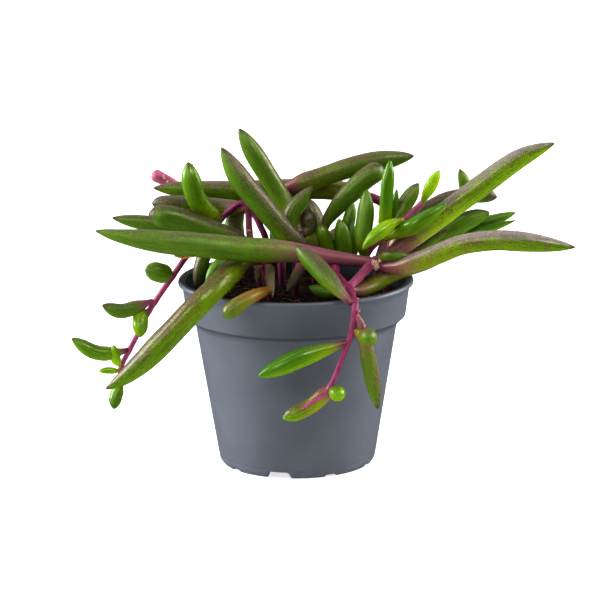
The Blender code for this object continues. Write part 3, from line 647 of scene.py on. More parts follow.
def add_leaf(bm, outline, width, line, look, seed):
    """One leaf: a spindle, a little flatter above, with soft edges and a small sharp tip. Its
    look gives the last five of its layers, from blush on, and those left out are 0."""
    neck, swell, taper, blunt = OUTLINES[outline]
    path = Path(placed_line(line))
    length = path.length / MM
    steps = min(72, max(26, int(length * 1.7)))
    part, layers = flat_skin(LEAF_LAYERS, steps, 24 if width > 3 else 16, length)
    for vert in part.verts:
        even = (vert.co.x + 1) / 2
        share = 0.45 * even + 0.55 * (0.5 - 0.5 * math.cos(math.pi * even))
        angle = (vert.co.y + 1) * math.pi
        left = (1 - share) * length
        girth = neck + (1 - neck) * smooth(share / swell)
        if share > taper:
            girth *= (1 - min(1.0, (share - taper) / (1 - taper)) ** blunt) ** TIP_ROUNDNESS
        girth *= 1 + 0.045 * noise.noise(Vector((share * length / 9, seed * 3.7, 0.0)))
        point = TIP_RADIUS * math.sqrt(max(0.0, 1 - (1 - min(left / TIP_LENGTH, 1.0)) ** 2))
        radius = max(girth * width / 2, point) if share > 0.0 else 0.0
        rise, across = -math.cos(angle), math.sin(angle)
        flatter = (rise - TOP_FLATNESS * max(rise, 0.0) ** 2) * 1.08 + 0.05
        shown_rise = rise + (flatter - rise) * smooth(left / 6.0)
        wave = 1 + 0.02 * noise.noise(Vector((across * 1.5, rise * 1.5, share * length / 5 + seed)))
        place, way, up = path.frame(share)
        side = way.cross(up)
        vert.co = place + (up * shown_rise + side * across) * radius * wave * MM
        for layer, value in zip(layers, (share, left, rise, *look)):
            vert[layer] = value
    close_and_add(bm, part)


def shade_near_soil(place, reach, strength):
    """A share of painted shade that grows towards the soil inside the pot."""
    inside = ramp(from_axis(place), reach - 0.005, reach, strength, 0.0)
    low = ramp(axes_of(place)["Z"], level(SOIL_LEVEL + 1.8), level(SOIL_LEVEL + 10.8), 1.0, 0.0)
    return times(inside, low)


def streaks_along(tree, stretch, *settings):
    """Noise drawn out along the skin, on its own UV map."""
    uv = node(tree, "ShaderNodeUVMap", uv_map="skin").outputs["UV"]
    stretched = node(tree, "ShaderNodeMapping", {"Vector": uv, "Scale": stretch})
    return noise_node(stretched.outputs["Vector"], *settings)


def attributes(tree, names):
    """The values that the points of a piece hold."""
    return [node(tree, "ShaderNodeAttribute", attribute_name=name).outputs["Fac"]
            for name in names]


def leaf_skin():
    """Waxy leaf: deep green below, mottled mauve above, yellow-green to rose at the foot and dark at
    the tip, with a painted sheen on the tops of some leaves and painted shade low inside the pot. The
    shares come from the leaf's own attributes."""
    material, shader, place = new_material("succulent leaf", 0.28, 0.45)
    tree = material.node_tree
    along, end, upper, blush, youth, rose, dry, sheen_paint = attributes(tree, LEAF_LAYERS)
    streak = streaks_along(tree, (9.0, 1.2, 1.0), 3.0, 3.0, 0.55)
    cloud = noise_node(place, 170, 3.0, 0.55)
    patch = noise_node(place, 480, 3.0, 0.6)
    mottle = noise_node(place, 2600, 2.0, 0.6)
    dots = noise_node(place, 3800, 1.0, 0.5)

    reach = plus(upper, times(patch, 0.6), times(cloud, 2.0), times(blush, 1.1),
                 ramp(end, 1.0, 7.0, 0.2, 0.0))
    gate = ramp(blush, 0.04, 0.45)
    over = times(ramp(reach, 2.10, 2.95), gate)
    dusted = times(ramp(reach, 1.60, 2.70), gate)
    fade = plus(rose, times(along, -1.0), times(plus(patch, -0.5), 0.12))
    stale = times(dry, ramp(along, 0.40, 1.05, 1.0, 0.0), clamp=True)
    colour = coated(SKIN, "green", {
        "bright": times(ramp(cloud, 0.3, 0.7), 0.35),
        "young": times(youth, ramp(along, 0.15, 0.70, 1.35, 0.60), clamp=True),
        "shade": times(ramp(streak, 0.34, 0.56, 0.50, 0.0), ramp(along, 0.2, 0.6)),
        "deep": times(ramp(upper, -0.5, 0.3, 0.0, 0.8), ramp(along, 0.15, 0.5),
                      ramp(youth, 0.20, 0.30), ramp(youth, 0.50, 0.60, 1.0, 0.0),
                      ramp(blush, 0.12, 0.25, 1.0, 0.0)),
        "base": ramp(along, 0.05, 0.52, 0.75, 0.0),
        "blotch": times(ramp(patch, 0.56, 0.70), ramp(blush, 0.1, 0.3, 0.0, 0.5)),
        "streak": ramp(streak, 0.50, 0.72, 0.0, 0.20),
        "mauve": times(over, ramp(mottle, 0.38, 0.60, 0.45, 0.90), clamp=True),
        "speck": times(ramp(plus(dots, times(dusted, 0.17)), 0.60, 0.65),
                       ramp(blush, 0.03, 0.30, 0.0, 0.80), clamp=True),
        # Painted sheen: a pale mauve-white coat on the tops of the leaves that are given a sheen value.
        "painted sheen": times(sheen_paint, ramp(plus(upper, times(patch, 0.9)), 0.35, 1.35),
                      ramp(mottle, 0.35, 0.60, 0.55, 1.25)),
        "rose": times(ramp(fade, -0.10, 0.16), ramp(mottle, 0.3, 0.6, 0.65, 0.95)),
        "heel": times(ramp(along, 0.03, 0.18, 0.9, 0.0), ramp(rose, 0.08, 0.15),
                      ramp(rose, 0.17, 0.22, 1.0, 0.15)),
        "dry": times(stale, ramp(patch, 0.3, 0.6, 0.6, 1.0)),
        "tip": times(ramp(plus(end, times(mottle, 1.2)), 0.7, 2.6, 0.85, 0.0),
                     ramp(blush, 0.06, 0.24), ramp(dry, 0.15, 0.30, 1.0, 0.0)),
        # Painted shade on the low parts of the leaves inside the pot.
        "shade near soil": shade_near_soil(place, 0.019, 0.80),
    })
    gloss = plus(ramp(patch, 0.3, 0.7, 0.24, 0.36), times(over, 0.04),
                 ramp(youth, 0.10, 0.32, 0.08, -0.09), ramp(rose, 0.18, 0.34, 0.0, 0.10))
    feed(shader, {
        "Base Color": colour, "Roughness": gloss, "Specular Tint": (0.95, 1.0, 0.62),
        "Subsurface Weight": 0.10, "Subsurface Radius": (0.6, 1.0, 0.2),
        "Subsurface Scale": 0.0012,
    })
    bump(shader, plus(times(dots, 0.5), times(patch, 0.8), times(streak, 0.6)), 0.00014, 0.6)
    return material


LEAF_SKIN = leaf_skin()


def add_stem(bm, places, thick, thin, wine, joints=(), seed=0, cap_length=STEM_CAP):
    """A stem along its places, thickened a little at each joint, with rounded ends; wine gives
    its redness from foot to tip."""
    path = Path(places, STEM_STEPS)
    length = path.length / MM
    knots = []
    for joint in joints:
        nearest = min(range(STEM_STEPS + 1), key=lambda i: (path.places[i] - joint).length)
        knots.append(nearest / STEM_STEPS)
    steps = min(170, max(24, int(length * 2.6)))
    part, layers = flat_skin(STEM_LAYERS, steps, STEM_ROUNDS, length)
    spans = len(wine) - 1
    for vert in part.verts:
        share, turn = (vert.co.x + 1) / 2, (vert.co.y + 1) * math.pi
        radius = (thick + (thin - thick) * share) / 2
        for knot in knots:
            away = (share - knot) * length
            radius *= 1 + JOINT_SWELL * math.exp(-(away / JOINT_REACH) ** 2)
        radius *= 1 + 0.05 * noise.noise(Vector((share * length / 4, seed, 2.0)))
        cap = min(1.0, min(share, 1 - share) * length / cap_length)
        radius *= math.sqrt(1 - (1 - cap) ** 2)
        place, way, up = path.frame(share)
        vert.co = place + (up * math.cos(turn) + way.cross(up) * math.sin(turn)) * radius * MM
        step = min(int(share * spans), spans - 1)
        redness = wine[step] + (wine[step + 1] - wine[step]) * (share * spans - step)
        for layer, value in zip(layers, (share, redness)):
            vert[layer] = value
    close_and_add(bm, part)


def stem_skin():
    """Shiny wine-red to dusty pink stem, streaked along its length, with pale corky dots; its darkest
    wine is painted shade on the front stem's riser, and shade is painted on it low inside the pot.
    """
    material, shader, place = new_material("wine-red stem", 0.32, 0.25)
    _, wine = attributes(material.node_tree, STEM_LAYERS)
    streak = streaks_along(material.node_tree, (8.0, 2.5, 1.0), 4.0, 4.0, 0.6)
    patch = noise_node(place, 420, 3.0, 0.6)
    mottle = noise_node(place, 1800, 3.0, 0.6)
    colour = coated(STEM, "pink", {
        "crimson": wine,
        "purple": ramp(wine, 1.0, 1.4),
        # The darkest wine; on the front stem's riser it is painted shade.
        "dark": ramp(wine, 1.5, 2.0),
        "light streak": times(ramp(streak, 0.54, 0.68, 0.0, 0.75),
                              ramp(wine, 0.8, 1.6, 1.0, 0.25)),
        "dark streak": ramp(streak, 0.36, 0.48, 0.70, 0.0),
        "cork": ramp(patch, 0.52, 0.75, 0.0, 0.45),
        "fleck": ramp(mottle, 0.62, 0.74, 0.0, 0.35),
        # Painted shade on the low parts of the stems inside the pot.
        "shade near soil": shade_near_soil(place, 0.026, 0.85),
    })
    feed(shader, {"Base Color": colour, "Subsurface Weight": 0.06,
                  "Subsurface Radius": (1.0, 0.4, 0.4), "Subsurface Scale": 0.0008})
    bump(shader, plus(times(streak, 1.4), times(mottle, 0.5)), 0.00014, 0.6)
    return material


STEM_SKIN = stem_skin()


def grow(name, foot, thickness, wine, line, leaves, cap=STEM_CAP,
         shoots=(), shoot_wine=0.5, shoot_cap=STEM_CAP):
    """Makes a leafy stem's two pieces, its stem and its leaves, in place of the frame's solid.
    A line's points are across, up and behind in the front view, in millimetres, and each leaf has its
    outline, width, line and look: blush, youth, rose, dry and the strength of a painted sheen."""
    x, y = foot
    stem = start_piece(STEM_LAYERS)
    in_soil = [Vector((x, y, up - FLOOR_UNDERSIDE)) * MM
               for up in (SOIL_LEVEL - STEM_DEPTH, SOIL_LEVEL + 0.5)]
    joints = [placed(*points[0]) for _, _, points, _ in leaves]
    add_stem(stem, in_soil + placed_line(line), *thickness, wine, joints, x, cap)
    for thick, thin, shoot in shoots:
        add_stem(stem, placed_line(shoot), thick, thin, (shoot_wine,) * 2, (), x, shoot_cap)
    finish(name + "_stem", stem, STEM_SKIN, [name])
    blades = start_piece(LEAF_LAYERS)
    for index, (outline, width, points, look) in enumerate(leaves):
        add_leaf(blades, outline, width, points, look, x * 1.7 + index)
    finish(name + "_leaves", blades, LEAF_SKIN, [name])


grow(
    "left_trailing_stem", foot=(-9, 2), thickness=(1.9, 1.3),
    wine=(1, 0.6, -0.6, 1.25, 1.3, 0.9, 0.6, 0.6, 0.6),
    line=[(-9.6, 50, 2), (-11.2, 55.5, 2), (-11.8, 61, 2), (-12, 65.2, 2.2), (-13.5, 67.2, 2.6),
        (-16.2, 65.6, 3), (-19.5, 62.6, 3), (-23.5, 58.3, 2.5), (-27.7, 53.6, 2), (-31.5, 48.2, 2),
        (-34.6, 43.8, 2.5), (-37.9, 38.8, 3), (-40.7, 33.1, 3.5), (-43.3, 28.2, 4), (-45, 24.5, 4),
        (-44.7, 20.3, 3.5)],
    leaves=[
        ("oval", 5.2, [(-31.6, 48.6, 2), (-34.5, 49.4, -1.5), (-38.2, 50.3, -4.5)], (0.14, 0.12, 0.08)),
        ("oval", 3.9, [(-36.4, 42.2, 2.7), (-40.5, 40.6, 1.2), (-45, 39.5, -0.3), (-49.6, 41, -1.5)],
            (0.32, 0, 0.3)),
        ("oval", 4, [(-37.9, 39.4, 3), (-39.6, 38.2, 1), (-40, 32.4, -1.5)], (0.1, 0.64, 0.05)),
        ("oval", 3.9, [(-42.9, 29.3, 3.8), (-47, 28.4, 2.3), (-52, 28.9, 1), (-57.6, 32.4, 0)],
            (0.15, 0.22, 0.16)),
        ("oval", 2.5, [(-44.9, 24.8, 4), (-46.4, 27, 2), (-46.9, 30.5, 1)], (0, 0.85, 0.05)),
        ("oval", 1.8, [(-45, 23.6, 4), (-48, 23.8, 3), (-50.8, 23.7, 2.5)], (0.05, 0.85, 0.06)),
        ("oval", 3.3, [(-44.8, 20.8, 3.5), (-46.4, 17.3, 2.5), (-47.1, 13.5, 1.5)], (0.15, 0.28, 0.06)),
        ("long", 5.2, [(-18.8, 62.8, 2.7), (-22.4, 65, 0), (-25, 68.7, -1.8), (-26.3, 73.4, -2.6),
            (-27, 77.9, -3)], (0.18, 0.22, 0.05)),
        ("blunt", 6.3, [(-11.4, 56, 2), (-19.3, 59.2, -1.5), (-29.5, 63.3, -3.5), (-37.3, 64.6, -5)],
            (0.4, 0.03, 0.06)),
        ("blunt", 4.4, [(-12.2, 65.6, 2.3), (-18, 66.3, 6.5), (-27, 67.1, 6.5), (-36.4, 67.4, 6)],
            (0.9, 0.05, 0.06)),
        ("long", 4.4, [(-10.6, 53.4, 2), (-17, 55.6, 5), (-25, 58.6, 6), (-35, 61.7, 5.5),
            (-46.6, 63.7, 4.5)], (0.55, 0.08, 0.06)),
        ("young", 5, [(-11, 54.6, 2), (-14.6, 57.2, 5.2), (-15.6, 61.2, 7.4), (-14.4, 65, 8.4),
            (-12.8, 67.4, 8.8)], (0.3, 0.1, 0.06)),
        ("long", 3.6, [(-10.8, 54.4, 1.8), (-16.5, 56.2, -1), (-21.8, 55.6, -3), (-24.3, 51, -4),
            (-25.5, 45, -4.5)], (0.75, 0.1, 0.05)),
        ("long", 3.8, [(-10.2, 52, 1.8), (-15, 53.4, -3), (-19.5, 51, -6.5), (-23, 46.6, -9)],
            (0.12, 0, 0.05)),
    ],
)


# The stem that hangs over the front rim: it rises from the soil, forks near the rim, and one
# branch hangs down the pot with short leaves while the other carries the longest leaves to
# the left and right. Same flesh and skin, its stem a dusty pink.
grow(
    "front_trailing_stem", foot=(6, -9), thickness=(2.2, 1.2),
    # The first wine value, 2, paints the riser in the darkest wine as painted shade.
    wine=(2, 0.95, 0.9, 0.7, 0.3), cap=5,
    line=[(6.6, 46.5, -9.5), (8.8, 50, -12), (10.8, 47.9, -16), (12.6, 45.8, -20), (13.9, 44.3, -23.5),
        (14.6, 42.3, -28), (15.1, 40.1, -31.5), (14.9, 38, -32.3), (14.2, 33.5, -32.3),
        (13.1, 30.4, -32), (11.6, 26.2, -31.5), (9.5, 20.9, -31), (7.6, 17.6, -31.6),
        (4.7, 15.6, -32.4), (1.1, 13, -32.8)],
    shoots=[
        (2.2, 2.6, [(13.4, 45, -22), (16.6, 48.2, -15.5), (19.3, 51.2, -10.5), (20.6, 52.2, -8.5)]),
    ],
    leaves=[
        ("stalked", 4.9, [(14.5, 40.6, -31), (11, 44.2, -29), (5, 51, -24), (0, 56, -20.5)],
            (0.4, 0, 0.16)),
        ("oval", 3.1, [(12.8, 45.4, -20.5), (8.2, 43.8, -19.5), (3.2, 45.3, -17)], (0.1, 0.26, 0.08)),
        ("stalked", 4.8, [(13.1, 30.6, -32), (8.6, 29.2, -33), (0, 26.4, -35), (-10, 21.8, -36)],
            (0.1, 0.34, 0.13)),
        ("stalked", 3.9, [(14.9, 38.6, -32.3), (16.8, 34.6, -32.6), (18.7, 24.8, -31),
            (20.8, 13, -29.5)], (0.95, 0.1, 0.34, 0.12)),
        ("oval", 4.6, [(14.5, 34.2, -32.3), (17.9, 32.3, -33.5), (18.4, 32, -38.5)],
            (0.22, 0.05, 0, 0.55)),
        ("oval", 4.1, [(8.4, 18.8, -31), (10.2, 17.4, -33), (10.4, 17.2, -37)], (0.05, 0.62, 0, 0.12)),
        ("long", 4.1, [(8.6, 19.2, -31), (6, 16.2, -30.2), (2.2, 13.3, -30), (-3.8, 10.6, -30.6)],
            (0.32, 0.5, 0.22, 0.35)),
        ("petioled", 6.3, [(19.3, 51.6, -10), (8.8, 53.1, -12), (-1.4, 54.6, -15), (-14.2, 55.5, -18),
            (-24.4, 56.6, -19.5), (-34.6, 57.6, -20), (-44.8, 59.1, -20), (-51, 60.4, -19.5)],
            (0.3, 0.12, 0.34)),
        ("long", 5.7, [(20.4, 51.6, -8.5), (25.4, 54.6, -6.5), (29.2, 57.9, -5), (34.4, 61.8, -4),
            (44.6, 69.5, -4), (54.5, 76.8, -4.5), (59.8, 79.7, -5), (65.7, 82, -5.5)],
            (0.66, 0.8, 0.24, 0.08, 0.35)),
        ("long", 5.2, [(20.2, 50.6, -10), (26.6, 50.4, -13.5), (34.3, 53, -17), (41.9, 56, -19.5),
            (49.6, 57.1, -21.5), (57.2, 56.8, -23), (71.2, 55, -25)], (0.7, 0.4, 0.2, 0.14, 0.5)),
        ("long", 4, [(13.2, 45, -21), (15.4, 44.2, -17.5), (20.3, 46.1, -12), (26.4, 49.3, -9),
            (33, 51.3, -10), (39.1, 52.7, -11)], (0.3, 0.12, 0.2, 0.3)),
        ("oval", 3, [(20.4, 52.6, -9), (25, 53.4, -12.5), (29.2, 52.8, -14.5)], (0.45, 0.1, 0.1)),
        ("young", 3.2, [(20.5, 51.4, -8), (21.9, 53.2, -2.6), (22.3, 57.6, 0.4)], (0.5, 0.2, 0.8, 0.3)),
    ],
)


# The young shoot at the right of the middle: short bright leaves set close together on a
# reddish stem that leans right. The newest leaf at its end is almost yellow.
grow(
    "right_young_shoot", foot=(16, -3), thickness=(1.9, 1.4), wine=(0.2, 0.2),
    line=[(17, 50, -3.5), (18.6, 54.4, -4.8), (21.4, 57.4, -6.5), (24, 59.6, -8), (27.2, 62.4, -8.5),
        (32.4, 67, -7.5)],
    leaves=[
        ("young", 3.6, [(27.4, 62.6, -8.5), (24.2, 61.4, -11.5), (20.3, 58.6, -13.5),
            (16.8, 54.9, -14)], (0.05, 0.75)),
        ("young", 4.3, [(22, 57.6, -7), (29, 60.6, -11), (34.2, 63.8, -11.5), (38.5, 66.8, -11)],
            (0.08, 0.3)),
        ("young", 3.2, [(32, 66.6, -7.5), (33.7, 70.2, -7.5), (36.6, 75.3, -7.5)], (0.02, 1.5, 0.06)),
        ("long", 3.3, [(22.4, 58.2, -7), (22.8, 64, -8.5), (23.3, 71, -8.5), (24.1, 78, -8)],
            (0.05, 0.4)),
        ("young", 2.2, [(23.2, 59, -7.5), (24.8, 64.6, -6.5), (25.8, 70.6, -5.5)], (0.1, 0.3)),
        ("paddle", 4.1, [(23.6, 59.3, -7.5), (27.8, 66.6, -4.5), (31.3, 72, -3.5)], (0.25, 0.14, 0.04)),
        ("paddle", 4.4, [(17.7, 52, -4), (16.9, 57, -6.3), (17.7, 63.6, -6), (18.2, 70.6, -5)],
            (0.12, 0.1, 0.03)),
    ],
)


# The short stem in the middle with the two tallest leaves, which lean back to the left, and a
# few smaller ones below them.
grow(
    "centre_stem", foot=(0, -2), thickness=(2.2, 2), wine=(0.7, 2),
    line=[(0.2, 48.5, -2), (0.6, 53.5, -2), (1.2, 57.5, -1), (1.6, 60, 0)],
    leaves=[
        ("long", 5.8, [(0.6, 52.8, -2), (2.2, 54.6, -4.5), (-0.7, 57.6, -6), (-5, 62.6, -6.3),
            (-9.1, 67.6, -6.3), (-13.2, 72.7, -6.3), (-17, 78.8, -6.3), (-18.6, 81.6, -6.3)],
            (0.72, 0.06, 0.03)),
        ("long", 5.2, [(1.4, 58.8, -0.5), (-1.4, 65.2, 3), (-4.2, 70, 4), (-7, 74.6, 4.2),
            (-9.7, 79.2, 4.2), (-14.1, 86.4, 4)], (0.32, 0.04, 0.04)),
        ("young", 4.4, [(0.8, 55.6, -1.5), (-1.6, 60.4, -1.5), (-0.6, 65.2, -1.2), (2, 68.7, -1),
            (4.5, 71.4, -1)], (0.45, 0.1, 0.05)),
        ("paddle", 4.2, [(1.6, 58.6, -0.2), (3.4, 61, 1.4), (2.8, 65.6, 2)], (0.45, 0.05, 0.1)),
        ("oval", 3.6, [(0.4, 52, -2), (-3.2, 55.6, -1), (-6.4, 60, 0.5)], (0.1, 0.4, 0.1)),
        ("long", 2.6, [(0.2, 50, -2), (1.6, 51.2, -7), (0.2, 48.4, -11.5), (-2.4, 44, -15)],
            (0.9, 0, 0.6, 0.25)),
    ],
)


# The stem just right of the middle: one stout blunt leaf stands up from it and leans right,
# with small rounded leaves round its foot.
grow(
    "upright_leaf_stem", foot=(7.5, 3), thickness=(2.1, 2), wine=(0.8, 0.8),
    line=[(7.6, 49.5, 3), (7.6, 54.5, 2.8), (7.4, 57.5, 2.6)],
    leaves=[
        ("club", 5.5, [(7.2, 56.5, 2.6), (7.6, 61.6, 2), (10.8, 66.4, 1.5), (14.4, 70.3, 1.2),
            (18, 73.6, 1.2), (22.5, 76.2, 1.5)], (0.38, 0.03, 0.16)),
        ("paddle", 4, [(7.6, 53.6, 2.6), (8.6, 54.6, -1), (7.2, 58.4, -2.5), (5.8, 61.9, -3)],
            (0.18, 0.3, 0.25)),
        ("paddle", 4.4, [(7.6, 51.8, 2.6), (12, 53.8, -2), (11.9, 58.6, -3), (11, 63, -3.5)],
            (0.1, 0.12, 0.05)),
        ("paddle", 3.6, [(7.7, 53, 2.8), (12, 58.2, 0.4), (13.6, 63, 0.2), (14.6, 67.6, 0.2)],
            (0.15, 0.18, 0.05)),
        ("young", 3.5, [(7.6, 51, 2.8), (13.4, 53.4, -1), (14.4, 57.6, -2), (14.2, 62.6, -2)],
            (1, 0.1, 0.45)),
        ("paddle", 4.6, [(7.2, 56.6, 3), (5.4, 62, 6.4), (2.4, 68.6, 7.6)], (0.5, 0.02, 0.05)),
    ],
)


# The stem behind the middle: its top leaf is the long mauve one that reaches right over the
# others, and two more lean away at the back.
grow(
    "back_centre_stem", foot=(-3.5, 9), thickness=(2.1, 2.2), wine=(0.6, 0.6),
    line=[(-3.6, 52, 9), (-3.4, 60, 9.5), (-3.6, 66.5, 9.8), (-4, 70.8, 9.6)],
    leaves=[
        ("long", 5.4, [(-3.8, 70.2, 9.6), (-1, 71.4, 9), (6.2, 73.7, 8.5), (12.7, 75.9, 8),
            (18.8, 77.5, 8), (24.4, 78.3, 8), (30.2, 79, 8)], (0.44, 0, 0.16, 0.1)),
        ("long", 5, [(-3.4, 60, 9.5), (-1.5, 64, 16), (1, 66.5, 26), (4, 64.5, 38)], (0.6, 0.1, 0.1)),
        ("long", 4.8, [(-3.4, 57, 9.3), (-4.6, 61.5, 15), (-5.6, 65.6, 22), (-5.5, 68.6, 29),
            (-4, 70.6, 38)], (0.5, 0.12, 0.1)),
    ],
)


# The stem at the back right, bent over at the top: it carries the very long level leaf that
# crosses behind the whole plant to the left.
grow(
    "long_leaf_stem", foot=(20.5, 7), thickness=(2.1, 2.4), wine=(0.8, 0.8),
    line=[(21.8, 52, 8), (22.9, 58, 9), (23, 63.4, 10), (22.3, 66.6, 10.6), (20.3, 68, 11),
        (17.2, 69.1, 12), (14.2, 70.5, 13)],
    leaves=[
        ("even", 5.3, [(16.5, 69.4, 12.2), (8.8, 70.6, 13.6), (-1.4, 70.9, 14), (-15.5, 70.5, 14),
            (-29.5, 71, 13.5), (-36, 71.3, 13)], (0.48, 0.2, 0.03, 0.1)),
        ("long", 4.8, [(22.2, 54.6, 8.6), (23.5, 57.6, 16), (24.5, 58, 26), (24.5, 55, 37)],
            (0.45, 0.15, 0.08)),
        ("long", 4.4, [(22.9, 58.6, 9), (26, 61, 14.5), (30.5, 62.6, 23), (34.5, 62.8, 33)],
            (0.5, 0.1, 0.08)),
    ],
)


# The shoot behind the right-hand long leaves: it leans out over the rim and carries a bunch of
# shorter leaves, one of them blunt and arched.
grow(
    "right_trailing_shoot", foot=(23, 1), thickness=(1.9, 1.5), wine=(0.5, 0.5),
    line=[(24.6, 51, 1.5), (27.6, 55, 2.5), (32, 59.6, 3.4), (37, 63.2, 3.6), (42, 66.4, 3.6)],
    leaves=[
        ("blunt", 4.4, [(28.6, 56.6, 2.8), (31.7, 63.4, 6), (36.8, 67, 6.5), (41.4, 68.4, 5.5),
            (46.3, 69, 4.5), (51.2, 68.2, 4)], (1, 0.05, 0.12)),
        ("young", 3.2, [(41.6, 66.2, 3.6), (43.2, 70.4, 3), (41.6, 75.6, 2.5)], (0.45, 0.15, 0.05)),
        ("long", 5, [(27.2, 54.6, 2.4), (34.3, 56.8, 3.5), (39.4, 59.9, 3.5), (44.5, 62.7, 3.5),
            (49.4, 64.3, 3.5)], (0.25, 0.02, 0.06)),
        ("young", 2.6, [(26.8, 53.8, 2), (31, 55, -0.5), (35.2, 57.7, -0.8), (38.8, 59.9, -1)],
            (1, 0.05, 0.1)),
        ("young", 3.8, [(37, 63, 3.6), (42, 60.6, 7.5), (48.5, 61.8, 8), (56, 64.2, 8)],
            (0.1, 0.1, 0.03)),
        ("young", 2.4, [(36.6, 62.8, 3.6), (41.5, 58.6, 6.5), (48, 59.8, 5.5), (56, 62.2, 4.5)],
            (0.1, 0.3, 0.03)),
    ],
)


# The low stem at the front left: its broad, heavy leaf hangs over the rim to the left, and an
# old leaf beside it, turning brown, lies over the rim. Two withered ones hang inside.
grow(
    "low_left_stem", foot=(-6.5, -9.5), thickness=(2, 1.8), wine=(0.8, 0.8),
    line=[(-6.8, 46.5, -9.5), (-8.2, 50.5, -8.8), (-9, 53, -8)],
    leaves=[
        ("long", 6.1, [(-8.8, 52.6, -8), (-12.4, 52.2, -10.5), (-16, 49.8, -15.5), (-19.8, 46.2, -23.5),
            (-23.5, 42.5, -27.5), (-27.5, 38.5, -29), (-35.3, 30.3, -30), (-40.6, 25.1, -30.5),
            (-45.2, 21.3, -30.5), (-49.2, 18.8, -30)], (0.5, 0.24, 0.05, 0.1)),
        ("withered", 4.1, [(-6.7, 45.4, -9.6), (-6.4, 44.9, -16), (-7.6, 44.4, -24), (-11.4, 42.9, -30),
            (-15, 40.7, -32.8), (-18.7, 37.5, -33.8)], (0.3, 0.1, 0.06, 1.5)),
        ("oval", 2.4, [(-8.2, 50.4, -8.8), (-6.6, 50.3, -13.5), (-6.6, 47.6, -19.5), (-6, 42.6, -24)],
            (1, 0, 0.3, 0.35)),
        ("oval", 1.8, [(-8.4, 51, -8.8), (-9.8, 49.8, -12), (-9.9, 46.8, -14)], (1, 0, 0.5, 0.3)),
    ],
)


# The stem that was cut off at the upper left: it ends in a thick pink stub above the long
# level leaf. Its leaves point to the back.
grow(
    "cut_stem", foot=(-7.5, 13), thickness=(1.6, 1.8), wine=(2, 2, 1.8, 0.3, 0),
    shoot_wine=0.15, shoot_cap=1.5,
    line=[(-7, 52, 13.5), (-7.5, 57.5, 14.5), (-8.8, 61, 15.5), (-10.7, 64.6, 17.5), (-15, 68.8, 20),
        (-21, 70, 20.5), (-27, 70, 20.5)],
    shoots=[
        (2.7, 3.4, [(-25.4, 69.8, 20.5), (-28.6, 70.6, 20.4), (-31.8, 72.6, 20), (-36.2, 75.1, 19.5)]),
    ],
    leaves=[
        ("long", 4.8, [(-7.1, 53.4, 13.7), (-13, 55.6, 20), (-19, 58, 28), (-26, 60, 36)],
            (0.5, 0.1, 0.05)),
        ("young", 4.4, [(-15, 68.7, 20), (-16.5, 66.6, 26), (-19, 65.6, 33)], (0.4, 0.15, 0.05)),
        ("young", 4, [(-22, 70, 20.5), (-24, 70.6, 26), (-27, 70.2, 32)], (0.4, 0.12, 0.05)),
    ],
)


# The stem that trails over the back rim with small plump leaves, in the manner of the one at
# the left.
grow(
    "rear_trailing_stem", foot=(5, 14), thickness=(1.9, 1.2), wine=(0.5, 0.5),
    line=[(5.2, 50.5, 15), (6.5, 55, 20), (8, 56.6, 26.5), (9.2, 55, 32), (9.8, 50.5, 34.5),
        (9.2, 44, 35), (7.5, 38, 34.5), (5, 32, 34), (3, 26.5, 33.5)],
    leaves=[
        ("long", 4.8, [(6.4, 54.8, 20), (11, 58.5, 26.5), (15, 58.5, 34), (18.5, 55, 42)],
            (0.6, 0.1, 0.08)),
        ("long", 4.6, [(7.6, 56.2, 25), (2.5, 58.5, 29.5), (-3.5, 57.5, 34), (-9.5, 53, 38)],
            (0.5, 0.12, 0.08)),
        ("oval", 4.2, [(9.8, 50, 34.6), (13, 47, 36.5), (17, 42.5, 38)], (0.25, 0.2, 0.08)),
        ("oval", 4, [(9, 43.4, 35), (5, 42, 37), (0, 38, 38.5)], (0.2, 0.25, 0.08)),
        ("oval", 4.2, [(7.2, 37.2, 34.5), (10.5, 34, 35), (13, 28.5, 34.5)], (0.15, 0.3, 0.08)),
        ("oval", 3.8, [(5, 32, 34), (1.5, 29.5, 35), (-2.5, 25, 35)], (0.1, 0.45, 0.08)),
        ("oval", 3.6, [(3.2, 27.2, 33.6), (3.5, 24, 34.5), (4.5, 20, 34.5)], (0.1, 0.6, 0.08)),
    ],
)


# The scars and scraps: pale corky scars where old leaves came off, dry flecks on the hanging
# stem and the cut stub, a dead leaf tip, and a withered shred below the long left leaf. All
# are dry plant tissue, grown on the stems and leaves or caught between them.
SCARS = (
    (20.4, 50.9, -12.2, 1.0, 0.5, 1.2), (21.3, 51.9, -11.8, 0.5, 0.4, 0.5),
    (19.7, 51.9, -11.8, 0.4, 0.35, 0.5), (-11.9, 60.0, 1.1, 0.65, 0.35, 0.4),
    (-11.4, 59.1, 1.2, 0.4, 0.3, 0.35), (15.6, 42.2, -29.3, 0.38, 0.35, 0.22),
    (16.1, 39.0, -32.2, 0.22, 0.25, 0.30), (-33.3, 74.0, 18.4, 0.35, 0.3, 0.5),
    (-32.4, 72.9, 18.6, 0.4, 0.3, 0.3), (-34.6, 73.6, 18.4, 0.3, 0.3, 0.35),
    (-31.8, 74.1, 18.9, 0.25, 0.3, 0.3), (6.6, 53.2, -12.6, 0.2, 0.2, 0.2),
)
FLECK = (-25.9, 77.0, -3.0)
FLECK_SIZES = (0.22, 0.22, 0.3)
SHRED = [(-24.2, 54.6, -18.2), (-26.4, 53.9, -18.6), (-28.8, 53.5, -18.2), (-31, 54, -18.6)]
SHRED_THICK, SHRED_THIN = 1.5, 0.9


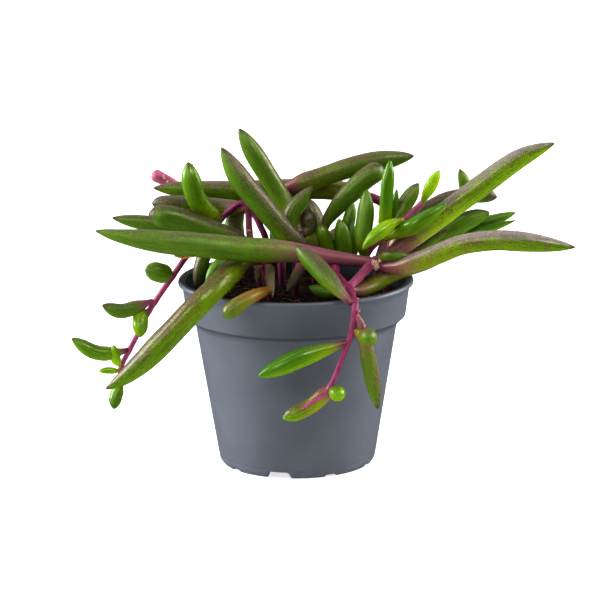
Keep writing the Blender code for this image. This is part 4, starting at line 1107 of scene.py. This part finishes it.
def corky_material(name, light, dark):
    material, shader, place = new_material(name, 0.8, 0.2)
    grain = noise_node(place, 2600, 4.0, 0.65)
    colours = {"dark": dark, "light": light}
    feed(shader, {"Base Color": coated(colours, "dark", {"light": ramp(grain, 0.38, 0.62)})})
    bump(shader, grain, 0.0002)
    return material


def add_blob(bm, place, sizes, seed):
    """A small rough lump with its three half sizes, in millimetres."""
    for vert in bmesh.ops.create_icosphere(bm, subdivisions=3, radius=MM)["verts"]:
        rough = 1 + 0.35 * noise.noise(vert.co / MM * 1.4 + Vector((seed, 0, 0)))
        rough += 0.18 * noise.noise(vert.co / MM * 4.5 + Vector((0, seed, 0)))
        vert.co = Vector(a * b for a, b in zip(vert.co, sizes)) * rough + place


bm = bmesh.new()
for index, (across, up, behind, *sizes) in enumerate(SCARS):
    add_blob(bm, placed(across, up, behind), sizes, index)
bmesh.ops.recalc_face_normals(bm, faces=bm.faces)
dry_cork = corky_material("dry cork", (0.80, 0.62, 0.46), (0.42, 0.15, 0.12))
finish("leaf_scars", bm, dry_cork)

bm = bmesh.new()
add_blob(bm, placed(*FLECK), FLECK_SIZES, 3)
dead_tip = corky_material("dead tip", (0.03, 0.015, 0.012), (0.012, 0.006, 0.006))
finish("tip_fleck", bm, dead_tip)

bm = start_piece(STEM_LAYERS)
add_stem(bm, placed_line(SHRED), SHRED_THICK, SHRED_THIN, (0, 0), (), 4.0, 0.6)
withered_leaf = corky_material("withered leaf", (0.50, 0.36, 0.08), (0.28, 0.10, 0.04))
finish("withered_shred", bm, withered_leaf)


# The root fibres: thin pale roots of the plant itself, which lie loose on the peat between
# the stems and wander a few millimetres each.
FIBRE_COUNT = 22
FIBRE_STEPS = 6
FIBRE_SEED = 5
rng = random.Random(FIBRE_SEED)
bm = start_piece(STEM_LAYERS)
for index in range(FIBRE_COUNT):
    angle = rng.uniform(0, math.tau)
    reach = rng.uniform(0.3, 0.9) * edge
    here = Vector((reach * math.cos(angle), reach * math.sin(angle),
                   SOIL_LEVEL - FLOOR_UNDERSIDE + 0.2))
    turn, line = rng.uniform(0, math.tau), []
    for step in range(FIBRE_STEPS):
        line.append(Vector((here.x, here.y, here.z + rng.uniform(0.0, 0.9))) * MM)
        turn += rng.uniform(-0.7, 0.7)
        move = Vector((math.cos(turn), math.sin(turn), 0)) * rng.uniform(0.8, 1.6)
        if (here + move).xy.length > edge - 0.8:
            turn += math.pi / 2
            move = Vector((-here.x, -here.y, 0)).normalized() * 1.0
        here = here + move
    add_stem(bm, line, rng.uniform(0.12, 0.24), 0.08, (0, 0), (), index, 0.1)
root_fibre = corky_material("root fibre", (0.42, 0.33, 0.20), (0.16, 0.09, 0.05))
finish("root_fibres", bm, root_fibre)
